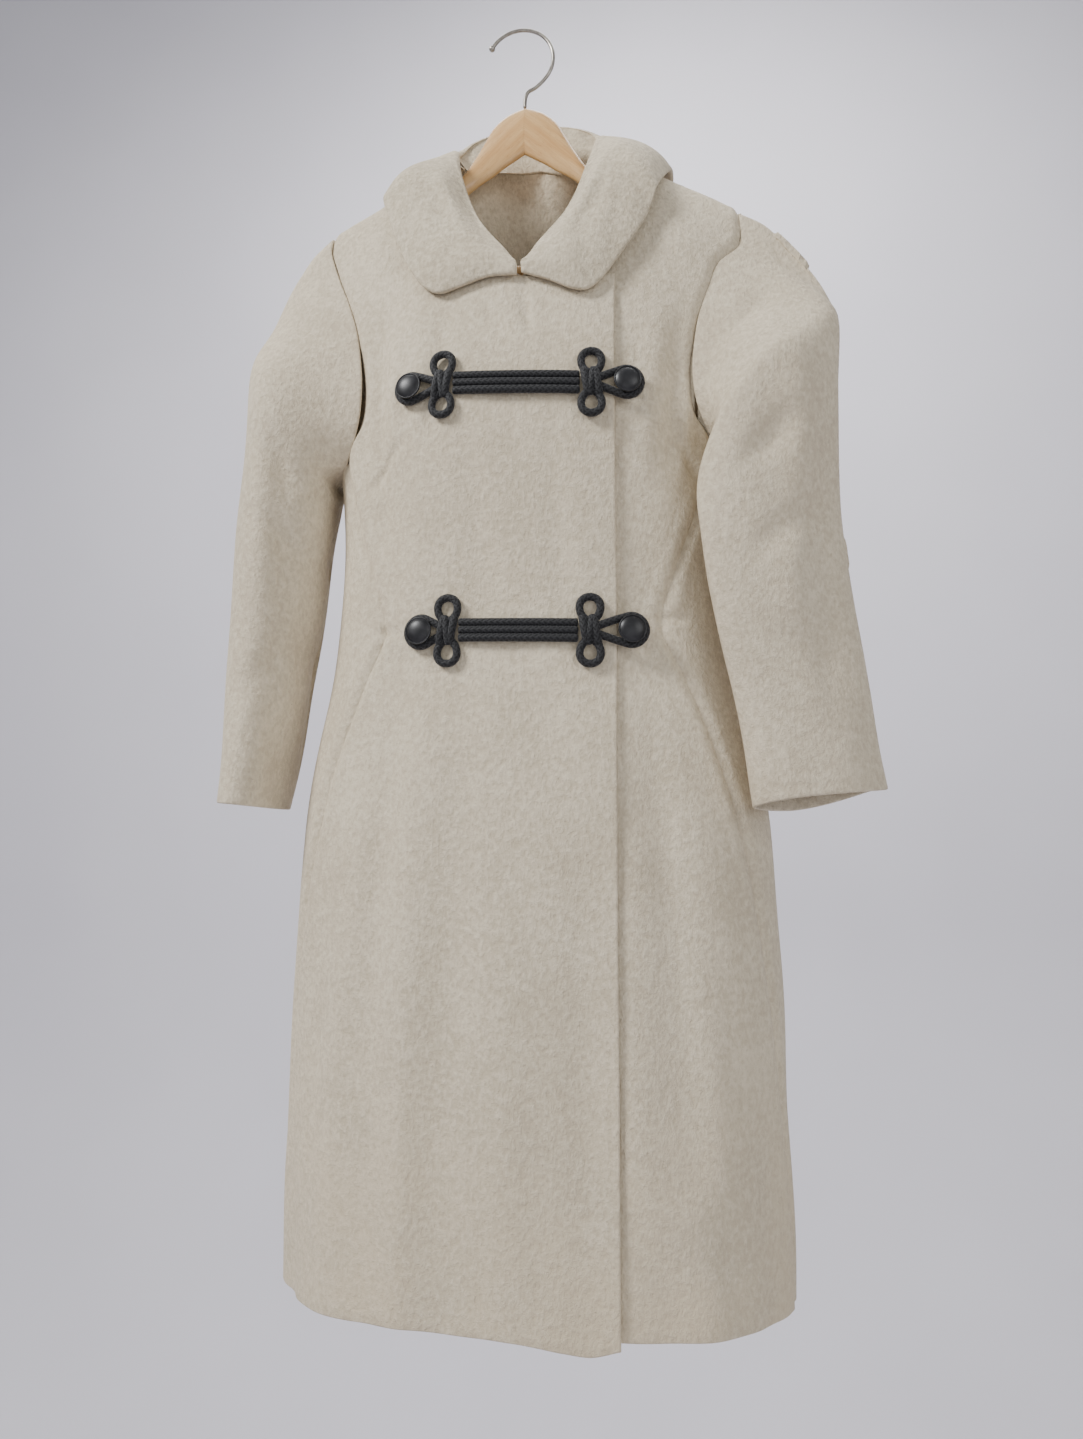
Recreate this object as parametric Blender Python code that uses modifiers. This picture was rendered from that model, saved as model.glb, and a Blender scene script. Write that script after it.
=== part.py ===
"""A swing coat of thick cream wool on its wooden hanger.

Lengths in the tables are millimetres, and every object is made in metres.
The origin is the inside top of the hanger's hook, the coat faces -Y, and +Z is up.
Left and right are the viewer's, looking at the front of the coat.
"""
import bmesh
import bpy
import numpy as np
from mathutils import Matrix

MM = 0.001

# Driving sizes of the cloth
CENTRE_X = 12.0
WOOL = 3.0
SEAM_GAP = 0.4
LAP_LIFT = 5.0
LAP_TOP = -264.0
FRONT_EDGE_OUT = 78.0
SQUARENESS = 2.5
TOP_ROUNDNESS = 0.5
TOP_FALL = 1.6
UNDERARM_Z = -430.0
NECK_SPREAD = 60.0
NECK_PUSH = 34.0
NECK_PUSH_REACH = 20.0

# Body, one row for each height: half width, depth of the front, depth of the back
BODY_SECTIONS = np.array([
    (-1160, 212, 106, 99),
    (-1000, 210, 106, 92),
    (-850, 206, 104, 84),
    (-750, 200, 101, 76),
    (-690, 190, 97, 70),
    (-610, 177, 91, 64),
    (-520, 172, 93, 68),
    (-430, 176, 97, 74),
    (-330, 187, 97, 78),
    (-230, 202, 95, 80),
    (-80, 207, 92, 78),
], float)

# Shoulder ridge, a row for each distance out: height at the left, at the right, and y
RIDGE = np.array([
    (0, -94, -98, 2),
    (60, -125, -130, 0),
    (120, -167, -173, -13),
    (170, -200, -208, -24),
    (210, -229, -238, -32),
], float)

# Neckline from the centre front to the shoulder seam: distance out, height
NECK_FRONT = np.array([(0, -299), (24, -284), (46, -258), (62, -226), (72, -190), (79, -162)], float)
# Neckline from the shoulder seam to the centre back: distance out, drop behind the ridge
NECK_BACK = np.array([(79, 0), (66, 6), (44, 10), (22, 15), (0, 19)], float)
NECK_ROW = 6.0
# Shoulder seam in front of the ridge: distance out, drop at the left, at the right
SHOULDER_SEAM = np.array([(79, 9, 20), (130, 14, 28), (186, 22, 36)], float)

# Armhole, from the shoulder down the front, under the arm and up the back
ARMHOLE_FRONT = np.array([
    (186, -243), (173, -268), (160, -298), (150, -330), (145, -362), (144, -394), (151, -424), (160, -440),
], float)
ARMHOLE_BACK = np.array([
    (158, -436), (150, -408), (147, -370), (150, -330), (158, -292), (170, -256), (181, -232),
], float)
UNDERARM_LOW = -449.0
FRONT_LEAN = 4.0
# Over the shoulder: distance out, drop behind the ridge, and the seam's direction out, back, up
CREST = np.array([(184, 5, 0.4, 0.3, 0.85), (186.5, 0, 0.45, 0, 0.9), (187, -6, 0.4, -0.3, 0.85)], float)

# Front princess seam: height, distance out; the waist nips it in to a corner
PRINCESS = np.array([
    (-440, 160), (-490, 149), (-540, 132), (-599, 115.5), (-640, 133), (-690, 154), (-740, 170),
    (-800, 183), (-870, 194), (-950, 202), (-1040, 208), (-1132, 211),
], float)
# Back princess seam: height, distance out
BACK_SEAM = np.array([(-436, 158), (-520, 142), (-610, 134), (-740, 152), (-900, 170), (-1132, 184)], float)
# Seam stations down the princess seams, shared by the pieces that meet there
SEAM_HEIGHTS = (-472, -512, -556, -599, -640, -690, -750, -830, -925, -1030, -1132)

# Hem: distance out from the centre, height; the over front's corner hangs lower
HEM_HEIGHT = -1132.0
OVER_CORNER_DIP = 9.0

# Soft folds of the skirt: angle round the body, depth, width in degrees, height where it starts
FOLDS = np.array([
    (-40, 2.5, 9, -640), (-14, -2.0, 12, -760), (36, 2.5, 9, -640), (64, -2.5, 8, -800),
    (-66, -3.5, 8, -800), (118, 5.0, 11, -600), (-122, 5.5, 10, -600), (150, -5.0, 12, -680),
    (-153, -4.5, 13, -680), (178, 4.5, 12, -560),
], float)

# Sleeves, a row for each section: height, tilt, distance out, y, half across, half deep, turn
SLEEVE_LEFT = np.array([
    (-400, 66, 216, -24, 39, 60, 0),
    (-450, 40, 220, -25, 40, 58, 0),
    (-500, 18, 224, -25, 40, 56, 0),
    (-560, 5, 229, -25, 39, 54, 0),
    (-620, 0, 233, -26, 36, 53, 0),
    (-680, 0, 239, -27, 31, 53, 0),
    (-739, 3, 246, -28, 26, 53, 0),
], float)
SLEEVE_RIGHT = np.array([
    (-400, 66, 210, -66, 60, 30, 24),
    (-450, 40, 203, -66, 62, 32, 22),
    (-500, 18, 204, -67, 64, 26, 25),
    (-560, 5, 210, -66, 64, 25, 25),
    (-620, 0, 219, -64, 61, 25, 24),
    (-680, 0, 229, -60, 58, 26, 22),
    (-737, 9, 238, -57, 57, 27, 20),
], float)
# Share of the armhole that lies at the top of the tilted sections
SLEEVE_TOP_SHARE = 0.95
# How far round a section each part of the armhole leads: share of the armhole, degrees
PACE_LEFT = np.array([(0, 0), (0.2, 90), (0.45, 180), (0.75, 270), (1, 360)], float)
PACE_RIGHT = np.array([(0, 0), (0.2, 120), (0.34, 180), (0.46, 248), (0.75, 310), (1, 360)], float)
ARMHOLE_STEPS = (7, 4, 7)
CAP_STEPS = 4
CAP_FULLNESS = 0.8
SLEEVE_ROWS = 9

# Collar, from the centre front to the centre back
COLLAR_THICK = 4.5
COLLAR_STAND_OFF = 12.5
# Roll line: share of the way round, distance out, y, height
COLLAR_ROLL = np.array([
    (0.00, 4, -82, -285), (0.12, 16, -73, -262), (0.24, 29, -61, -240), (0.38, 45, -42, -205),
    (0.50, 57.5, -29, -163), (0.62, 65, -6, -124), (0.74, 67, 21, -102), (0.87, 46, 42, -74), (1.00, 0, 50, -64),
], float)
COLLAR_DRIFT = 12.0
# Outer edge in front: share, out and height at the left, out and height at the right
COLLAR_EDGE = np.array([
    (0.00, 3, -300, 4, -299), (0.04, 20, -300, 20, -306), (0.08, 36, -302, 33, -312),
    (0.12, 50, -308, 45, -318), (0.17, 64, -310.5, 54, -318.5), (0.22, 76, -306, 63, -313),
    (0.28, 87, -293, 72, -301), (0.36, 101, -268, 86, -277), (0.44, 113, -239, 100, -251),
    (0.52, 124, -208, 110, -225), (0.58, 130, -184, 116, -200),
], float)
# Outer edge behind the shoulder: share, distance out, y, height
COLLAR_EDGE_BACK = np.array([
    (0.62, 126, -12, -162), (0.68, 127, 16, -160), (0.76, 116, 46, -156), (0.88, 74, 70, -152), (1.00, 0, 80, -152),
], float)
COLLAR_SHOULDER = 0.62
COLLAR_SHARES = (0, 0.05, 0.11, 0.18, 0.25, 0.33, 0.41, 0.49, 0.56, 0.62, 0.66, 0.70, 0.75, 0.82, 0.91, 1)
COLLAR_ROLL_RADIUS = 5.6
COLLAR_BULGE = 0.14
COLLAR_FOOT = 0.9
COLLAR_CORNER_LIFT = 6.5
COLLAR_CORNER_IN = 2.0

# Frogs and buttons: height of each frog, and distances out of its parts
# Each frog: height at its left and right end, knots out at left and right, buttons out
FROGS = {"upper": (-397.0, -403.0, 61.0, 61.0, 88.0, 88.5), "lower": (-603.0, -606.0, 55.5, 58.5, 77.5, 90.0)}
CORD_RADIUS = 3.2
CORD_SEAT = 0.6
KNOT_LOOP_RISE = 18.6
KNOT_LOOP_RADIUS = 8.4
KNOT_LOOP_WIDE = 4.8
KNOT_HEART_RADIUS = 6.8
KNOT_SPACE = KNOT_HEART_RADIUS + 3.6
LOOP_RADIUS = 11.6
LOOP_TIP_BEND = 3.6
BUTTON_RADIUS = 11.3
BUTTON_RISE = 2 * CORD_RADIUS + CORD_SEAT + 0.4
BUTTON_DOME = 5.2
SHANK_RADIUS = 3.5
BUTTON_FOOT = 0.55

# Hanger
HANGER_X = 2.0
HANGER_HALF_SPAN = 184.0
HANGER_THICK = 12.0
ARM_TIP_THICK = 8.0
ARM_TIP_BACK = 3.5
CLOTH_CLEARANCE = 4.0
# Wood near the neck: distance out, top, bottom
HANGER_NECK = np.array([
    (0, -80, -127), (10, -83, -133), (20, -88, -139), (30, -97, -146), (37, -109, -150),
    (46, -125, -156), (60, -146, -167),
], float)
ARM_DEPTH = 26.0
RIDGE_SLOPE = 1.22
HEEL_OUT = 170.0
HEEL_BOTTOM = -263.0
BAR_RADIUS = 5.0
BAR_Z = -256.0
BAR_Y = -21.0
HOOK_WIRE = 1.75
HOOK_FOOT = -79.5
HOOK_RADIUS = 31.75
HOOK_CENTRE = (-2.5, -30.0)


def curve_through(table, at):
    """Smooth curve through a table whose first column rises or falls; returns the other columns."""
    table = table if table[0, 0] < table[-1, 0] else table[::-1]
    stations, values = table[:, 0], table[:, 1:]
    at = np.clip(np.asarray(at, float), stations[0], stations[-1])
    slopes = np.gradient(values, stations, axis=0)
    index = np.clip(np.searchsorted(stations, at, side="right") - 1, 0, len(stations) - 2)
    step = (stations[index + 1] - stations[index])[..., None]
    t = (at - stations[index])[..., None] / step
    return (values[index] * (2 * t**3 - 3 * t**2 + 1) + slopes[index] * step * (t**3 - 2 * t**2 + t)
            + values[index + 1] * (3 * t**2 - 2 * t**3) + slopes[index + 1] * step * (t**3 - t**2))


def ease(t):
    t = np.clip(t, 0.0, 1.0)
    return t * t * (3 - 2 * t)


def unit(vectors):
    return vectors / np.linalg.norm(vectors, axis=-1, keepdims=True)


def ridge(out):
    """Height and y of the shoulder ridge at a signed distance out from the coat's centre."""
    row = curve_through(RIDGE, np.abs(out))
    share_right = ease(np.asarray(out) / 60 + 0.5)
    return row[..., 0] * (1 - share_right) + row[..., 1] * share_right, row[..., 2]


def spread_ridge(angle):
    """Height of the ridge above a place given by its angle from the centre line."""
    across = np.sign(angle) * np.abs(np.sin(np.radians(angle))) ** (2 / SQUARENESS)
    return ridge(across * BODY_SECTIONS[-1, 1])[0]


def fold_depth(angle, z):
    """Soft folds: each a bell across the angle that grows down the skirt."""
    depth = np.zeros(np.broadcast(angle, z).shape)
    for place, size, width, start in FOLDS:
        turn = (np.asarray(angle) - place + 180) % 360 - 180
        depth = depth + size * np.exp(-(turn / width) ** 2) * ease((start - z) / 420)
    return depth


def skin(angle, z, behind=None):
    """Outside of the cloth. The angle runs round the body: 0 front, +90 right, 180 back.

    Below the arms each level is a superellipse. Above them it closes up to the ridge.
    """
    angle, z = np.broadcast_arrays(np.asarray(angle, float), np.asarray(z, float))
    section = curve_through(BODY_SECTIONS, z)
    sine, cosine = np.sin(np.radians(angle)), np.cos(np.radians(angle))
    across = np.sign(sine) * np.abs(sine) ** (2 / SQUARENESS)
    depth = np.abs(cosine) ** (2 / SQUARENESS)
    at_back = cosine < 0 if behind is None else np.broadcast_to(behind, angle.shape)
    out = section[..., 0] * across
    ring = np.where(at_back, section[..., 2], -section[..., 1]) * depth
    top, top_y = ridge(across * BODY_SECTIONS[-1, 1])
    push = NECK_PUSH * np.exp(-(out / NECK_SPREAD) ** 2) * ease((top - z) / NECK_PUSH_REACH)
    top_y = top_y + np.where(at_back, push, 0.0)
    fall = np.clip((top - z) / (top - UNDERARM_Z), 0, 1)
    share = np.sqrt(fall**2 + 2 * fall * TOP_ROUNDNESS) / np.sqrt(1 + 2 * TOP_ROUNDNESS)
    share = 1 - (1 - share) ** TOP_FALL
    round_angle = np.where(at_back & (cosine > 0), np.sign(angle) * 180 - angle, angle)
    grow = 1 + fold_depth(round_angle, z) / 100
    return np.stack([CENTRE_X + out * grow, top_y * (1 - share) + ring * share * grow, z], -1)


def skin_normal(angle, z, behind=None):
    """Outward direction of the cloth, from two small steps on it."""
    along = skin(angle + 0.2, z, behind) - skin(angle - 0.2, z, behind)
    down = skin(angle, z + 0.5, behind) - skin(angle, z - 0.5, behind)
    normal = np.cross(along, down)
    if behind is not None:
        normal = np.where(np.broadcast_to(behind, normal.shape[:-1])[..., None], -normal, normal)
    return unit(normal)


def lap_lift(out, z):
    """How far the over front stands off, to pass over the under front below the neckline."""
    return LAP_LIFT * ease((np.asarray(out) + 120) / 38) * ease((LAP_TOP - np.asarray(z)) / 26)


def angle_at(out, z):
    """The angle that puts a point at this distance out, at this height."""
    share = np.clip(np.asarray(out, float) / curve_through(BODY_SECTIONS, z)[..., 0], -1, 1)
    return np.degrees(np.sign(share) * np.arcsin(np.abs(share) ** (SQUARENESS / 2)))


def clear_collection(name):
    for item in list(bpy.data.objects):
        bpy.data.objects.remove(item, do_unlink=True)
    collection = bpy.data.collections.new(name)
    bpy.context.scene.collection.children.link(collection)
    return collection


COAT = clear_collection("coat_on_hanger")
TOOLS = bpy.data.collections.new("cutters")
bpy.context.scene.collection.children.link(TOOLS)


def finish_of(name, colour, roughness, metallic=0.0):
    material = bpy.data.materials.new(name)
    material.use_nodes = True
    surface = material.node_tree.nodes["Principled BSDF"]
    surface.inputs["Base Color"].default_value = (*colour, 1.0)
    surface.inputs["Roughness"].default_value = roughness
    surface.inputs["Metallic"].default_value = metallic
    return material


def add_object(name, data, material, collection=COAT):
    item = bpy.data.objects.new(name, data)
    collection.objects.link(item)
    data.materials.append(material)
    return item


def mesh_of(name, points, faces):
    mesh = bpy.data.meshes.new(name)
    mesh.from_pydata(np.asarray(points, float).tolist(), [], faces)
    shape = bmesh.new()
    shape.from_mesh(mesh)
    bmesh.ops.recalc_face_normals(shape, faces=shape.faces)
    shape.to_mesh(mesh)
    shape.free()
    mesh.shade_smooth()
    mesh.set_sharp_from_angle(angle=np.radians(40))
    return mesh


def grid_faces(rows, columns, ring, start=0):
    """Quads of a grid of points; a ring also joins its last column to its first."""
    last = columns if ring else columns - 1
    return [(start + r * columns + c, start + r * columns + (c + 1) % columns,
             start + (r + 1) * columns + (c + 1) % columns, start + (r + 1) * columns + c)
            for r in range(rows - 1) for c in range(last)]


def cloth(name, outside, inside, material, ring=False):
    """A wall between two matching grids, closed along its rim.

    The rims at a seam stand along one shared direction, so both pieces meet square.
    """
    rows, columns = outside.shape[:2]
    count = rows * columns
    points = np.concatenate([outside.reshape(-1, 3), inside.reshape(-1, 3)]) * MM
    faces = grid_faces(rows, columns, ring) + grid_faces(rows, columns, ring, count)
    rim = [[r * columns + c for c in range(columns)] for r in (0, rows - 1)]
    if ring:
        rim = [line + line[:1] for line in rim]
    else:
        rim += [[r * columns + c for r in range(rows)] for c in (0, columns - 1)]
    for line in rim:
        faces += [(a, b, b + count, a + count) for a, b in zip(line, line[1:])]
    return add_object(name, mesh_of(name, points, faces), material)


def inset(grid, gap, sides="tblr"):
    """Draw the edges of a grid of points in by the gap: top, bottom, left and right."""
    grid = grid.copy()
    ends = {"t": (grid[0], grid[1]), "b": (grid[-1], grid[-2]),
            "l": (grid[:, 0], grid[:, 1]), "r": (grid[:, -1], grid[:, -2])}
    for side in sides:
        edge, nearby = ends[side]
        edge += unit(nearby - edge) * gap
    return grid


def grid_normals(grid, ring=False):
    if ring:
        around = np.roll(grid, -1, axis=1) - np.roll(grid, 1, axis=1)
    else:
        around = np.gradient(grid, axis=1)
    return unit(np.cross(around, np.gradient(grid, axis=0)))


def patch(top, bottom, left, right, lean=1.0):
    """Grid between four edges: the two blends of facing edges, less the blend of the corners.

    A lean over 1 keeps the shape of the right edge near that edge.
    """
    s = np.linspace(0, 1, len(top))[None, :, None]
    t = np.linspace(0, 1, len(left))[:, None, None]
    s = s**lean
    corners = ((1 - s) * (1 - t) * top[0] + s * (1 - t) * top[-1]
               + (1 - s) * t * bottom[0] + s * t * bottom[-1])
    return ((1 - t) * top[None] + t * bottom[None] + (1 - s) * left[:, None] + s * right[:, None]
            - corners)


def resample(points, count):
    """Evenly spaced points along a smooth curve through the given ones."""
    reach = np.concatenate([[0], np.cumsum(np.linalg.norm(np.diff(points, axis=0), axis=1))])
    return curve_through(np.column_stack([reach, points]), np.linspace(0, reach[-1], count))


def seam_drop(out):
    row = curve_through(SHOULDER_SEAM, np.abs(out))
    share_right = (np.asarray(out) > 0).astype(float)
    return row[..., 0] * (1 - share_right) + row[..., 1] * share_right


def neck_front(side):
    """The front's neckline, ending at the shoulder seam on that side."""
    line = NECK_FRONT.copy()
    line[-1, 1] = ridge(side * line[-1, 0])[0] - seam_drop(side * line[-1, 0])
    return line


def neck_back(side):
    line = NECK_BACK.copy()
    line[0, 1] = -seam_drop(side * line[0, 0])
    return line


def armhole(side):
    """Armhole stations as (out, height, behind): down the front, under the arm, up the back."""
    front = ARMHOLE_FRONT.copy()
    front[0, 1] = ridge(side * front[0, 0])[0] - seam_drop(side * front[0, 0])
    front = resample(front, ARMHOLE_STEPS[0] + 1)
    back = resample(ARMHOLE_BACK, ARMHOLE_STEPS[2])
    return front, back


def crest_points(side):
    """The seam's stations over the shoulder ridge, with their directions."""
    drop = CREST[:, 1]
    angle = side * angle_at(CREST[:, 0], ridge(side * CREST[:, 0])[0] - np.abs(drop))
    points = skin(angle, spread_ridge(angle) - np.abs(drop), drop >= 0)
    return points, unit(CREST[:, 2:] * (side, 1, 1))


def armhole_loop(side):
    """Points and directions of the armhole seam, shared by the body and the sleeve."""
    front, back = armhole(side)
    low = np.linspace(0, 1, ARMHOLE_STEPS[1] + 1)[1:-1]
    start, end = angle_at(front[-1, 0], front[-1, 1]), 180 - angle_at(back[0, 0], back[0, 1])
    under_z = front[-1, 1] + (back[0, 1] - front[-1, 1]) * low
    under_z = under_z + (UNDERARM_LOW - front[-1, 1]) * np.sin(np.pi * low)
    angles = side * np.concatenate([angle_at(front[:, 0], front[:, 1]), start + (end - start) * low,
                                    180 - angle_at(back[:, 0], back[:, 1])])
    heights = np.concatenate([front[:, 1], under_z, back[:, 1]])
    crest, crest_normals = crest_points(side)
    points = np.concatenate([skin(angles, heights), crest])
    return points, np.concatenate([skin_normal(angles, heights), crest_normals]), angles, heights


def hem_height(out):
    return HEM_HEIGHT - OVER_CORNER_DIP * np.exp(-((out - 66) / 44) ** 2)


def front_piece(name, side, material):
    """One front: side -1 is the over front, whose edge crosses to the right of the centre."""
    over = side < 0
    front, _ = armhole(side)
    seam_z = np.array(SEAM_HEIGHTS, float)
    seam_out = curve_through(PRINCESS, seam_z)[:, 0]
    outer_z = np.concatenate([front[:, 1], seam_z])
    outer_out = np.concatenate([front[:, 0], seam_out])
    neck = resample(neck_front(side), 7)
    shoulder_out = np.linspace(NECK_FRONT[-1, 0], ARMHOLE_FRONT[0, 0], 6)[1:]
    shoulder_z = ridge(side * shoulder_out)[0] - seam_drop(side * shoulder_out)
    lap = np.linspace(-FRONT_EDGE_OUT, 0, 5)[:-1]
    lap_z = np.full(len(lap), NECK_FRONT[0, 1] + 0.0)
    top_out = np.concatenate([lap, neck[:, 0], shoulder_out])
    top_z = np.concatenate([lap_z, neck[:, 1], shoulder_z])
    bottom_out = np.linspace(-FRONT_EDGE_OUT, outer_out[-1], len(top_out))
    corner = np.maximum(0, 1 - (bottom_out + FRONT_EDGE_OUT) / 12) ** 2
    bottom_z = (hem_height(-bottom_out) if over else np.full(len(top_out), HEM_HEIGHT)) + corner * 4
    bottom_z[-1] = HEM_HEIGHT
    edge_z = np.interp(outer_z, [HEM_HEIGHT, outer_z[0]], [bottom_z[0], top_z[0]])
    edge_out = np.full(len(edge_z), -FRONT_EDGE_OUT)

    def coordinates(out, z):
        return np.column_stack([angle_at(out, z), z])

    plan = patch(coordinates(top_out, top_z), coordinates(bottom_out, bottom_z),
                 coordinates(edge_out, edge_z), coordinates(outer_out, outer_z), FRONT_LEAN)
    angles, heights = side * plan[..., 0], plan[..., 1]
    outside = skin(angles, heights)
    normals = skin_normal(angles, heights)
    if over:
        outside = outside + normals * lap_lift(outside[..., :1] - CENTRE_X, outside[..., 2:])
    outside = inset(outside, SEAM_GAP / 2)
    return cloth(name, outside, outside - normals * WOOL, material)


def side_piece(name, side, material):
    """Side panel between the two princess seams, under the arm."""
    _, _, angles, heights = armhole_loop(side)
    first, last = ARMHOLE_STEPS[0], ARMHOLE_STEPS[0] + ARMHOLE_STEPS[1]
    seam_z = np.array(SEAM_HEIGHTS, float)
    front_angle = side * angle_at(curve_through(PRINCESS, seam_z)[:, 0], seam_z)
    back_angle = side * (180 - angle_at(curve_through(BACK_SEAM, seam_z)[:, 0], seam_z))
    top = np.column_stack([angles, heights])[first:last + 1]
    left = np.vstack([top[:1], np.column_stack([front_angle, seam_z])])
    right = np.vstack([top[-1:], np.column_stack([back_angle, seam_z])])
    bottom = np.column_stack([np.linspace(left[-1, 0], right[-1, 0], len(top)),
                              np.full(len(top), HEM_HEIGHT)])
    plan = patch(top, bottom, left, right)
    outside = inset(skin(plan[..., 0], plan[..., 1]), SEAM_GAP / 2)
    return cloth(name, outside, outside - skin_normal(plan[..., 0], plan[..., 1]) * WOOL, material)


def back_piece(name, material):
    """The back, from seam to seam, over the shoulders to the shoulder seams."""
    seam_z = np.array(SEAM_HEIGHTS, float)
    seam_out = curve_through(BACK_SEAM, seam_z)[:, 0]
    edges, tops = {}, []
    for side in (-1, 1):
        _, back = armhole(side)
        out = np.concatenate([CREST[1::-1, 0], back[::-1, 0], seam_out])
        z = np.concatenate([ridge(side * CREST[1::-1, 0])[0] - CREST[1::-1, 1], back[::-1, 1], seam_z])
        angle = side * angle_at(out, z)
        edges[side] = np.column_stack([angle, spread_ridge(angle) - z])
        edges[side][:2, 1] = CREST[1::-1, 1]
        shoulder = np.linspace(CREST[1, 0], NECK_FRONT[-1, 0], 6)
        neck = resample(neck_back(side), 6)[1:]
        out = np.concatenate([shoulder, neck[:, 0]])
        zero = np.zeros(len(shoulder))
        seam = seam_drop(side * shoulder)
        seam[0] = seam_drop(side * ARMHOLE_FRONT[0, 0])
        middle = CREST[2, 1] / seam[0] * seam
        rows = [np.concatenate([-seam, neck[:, 1]]), np.concatenate([middle, neck[:, 1] + NECK_ROW]),
                np.concatenate([zero, neck[:, 1] + 2 * NECK_ROW])]
        lines = []
        for drop, end in zip(rows, (ARMHOLE_FRONT[0, 0], CREST[2, 0], CREST[1, 0])):
            reach = out.copy()
            reach[0] = end
            z = ridge(side * reach)[0] - np.abs(drop)
            angle = side * angle_at(reach, z)
            seam_row = drop is rows[0]
            lines.append(np.column_stack([angle, np.sign(drop) * (spread_ridge(angle) - z) if seam_row else drop]))
        tops.append(lines)
    left, right = tops
    first, second, top = [np.vstack([a, b[::-1][1:]]) for a, b in zip(left, right)]
    bottom_angle = np.linspace(edges[-1][-1, 0], edges[1][-1, 0], len(top))
    bottom = np.column_stack([bottom_angle, spread_ridge(bottom_angle) - HEM_HEIGHT])
    plan = patch(top, bottom, edges[-1], edges[1])
    plan = np.concatenate([[first, second], plan])
    angle, drop = plan[..., 0], plan[..., 1]
    z = spread_ridge(angle) - np.abs(drop)
    outside = skin(angle, z, drop >= 0)
    normals = grid_normals(outside)
    if np.mean(normals[10:, :, 1]) < 0:
        normals = -normals
    normals = np.where((np.abs(drop) > 8)[..., None], skin_normal(angle, z, drop >= 0), normals)
    for side, column in ((-1, 0), (1, -1)):
        seam_normals = armhole_loop(side)[1]
        count = ARMHOLE_STEPS[2] + len(CREST)
        normals[1:count + 1, column] = seam_normals[::-1][:count]
        normals[0, column] = seam_normals[0]
    outside = inset(outside, SEAM_GAP / 2)
    return cloth(name, outside, outside - normals * WOOL, material)


def sleeve_piece(name, side, sections, pace, material):
    """A tube: the cap swells out of the armhole, then the sections run down to the cuff."""
    points, directions, _, _ = armhole_loop(side)
    share = np.arange(len(points)) / len(points)
    turn = np.radians(np.interp(share, pace[:, 0], pace[:, 1]))
    lean = np.cos(2 * np.pi * (share - SLEEVE_TOP_SHARE))
    steps = np.linspace(0, len(sections) - 1, SLEEVE_ROWS)
    numbered = np.column_stack([np.arange(len(sections)), sections])
    rings = []
    for height, tilt, out, y, across, deep, twist in curve_through(numbered, steps):
        local_x, local_y = across * np.cos(turn), -deep * np.sin(turn)
        cosine, sine = np.cos(np.radians(twist)), np.sin(np.radians(twist))
        x = local_x * cosine - local_y * sine
        rings.append(np.column_stack([CENTRE_X + side * (out + x), y + local_x * sine + local_y * cosine,
                                      height + tilt * lean]))
    first, second = rings[0], rings[1]
    chord = np.linalg.norm(first - points, axis=1, keepdims=True) * CAP_FULLNESS
    leave = unit(np.array([side, 0.0, -0.3])) * chord
    arrive = unit(second - first) * chord
    cap = []
    for t in np.linspace(0, 1, CAP_STEPS + 1)[:-1]:
        cap.append(points * (2 * t**3 - 3 * t**2 + 1) + leave * (t**3 - 2 * t**2 + t)
                   + first * (3 * t**2 - 2 * t**3) + arrive * (t**3 - t**2))
    outside = np.array(cap + rings)
    normals = grid_normals(outside, ring=True)
    centres = outside.mean(axis=1, keepdims=True)
    if np.sum(normals * (outside - centres)) < 0:
        normals = -normals
    normals[0] = directions
    outside = inset(outside, SEAM_GAP, "t")
    return cloth(name, outside, outside - normals * WOOL, material, ring=True)


def collar_piece(name, material):
    """Stand, roll and fall in one strip, from the centre front round the neck and back."""
    lines, outwards, samples = [], [], shoulder_samples()
    for side in (-1, 1):
        sections = [collar_section(side, value, samples) for value in COLLAR_SHARES]
        lines.append([line for line, _ in sections])
        outwards.append([outward for _, outward in sections])
    seen = np.array(lines[0] + lines[1][::-1][1:])
    normals = grid_normals(seen)
    if normals[len(COLLAR_SHARES) - 1, -1, 1] < 0:
        normals = -normals
    normals[:, 0] = -np.array(outwards[0] + outwards[1][::-1][1:])
    normals[:, 1] = 0.5 * (normals[:, 0] + normals[:, 2])
    return cloth(name, seen, seen - normals * COLLAR_THICK, material)


def neck_place(side, share):
    """Point and outward direction of the neckline, at a share of the way to the centre back."""
    if share <= COLLAR_SHOULDER:
        out, z = resample(neck_front(side), 41)[int(round(share / COLLAR_SHOULDER * 40))]
        base = skin(side * angle_at(out, z), z)
        front_normal = skin_normal(side * angle_at(out, z), z)
        base = base + front_normal * (lap_lift(-out, z) if side < 0 else 0.0)
    else:
        place = (share - COLLAR_SHOULDER) / (1 - COLLAR_SHOULDER)
        out, drop = resample(neck_back(side), 41)[int(round(place * 40))]
        z = ridge(side * out)[0] - abs(drop)
        base = skin(side * angle_at(out, z), z, drop >= 0)
        front_normal = np.zeros(3)
    in_front = 1 - ease((share - COLLAR_SHOULDER + 0.14) / 0.14)
    behind = ease((share - COLLAR_SHOULDER - 0.06) / 0.24)
    over = 1 - in_front - behind
    return base, unit(front_normal * in_front + np.array([side * 0.55, 0, 0.83]) * over
                      + np.array([0, 0.97, 0.25]) * behind)


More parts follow.
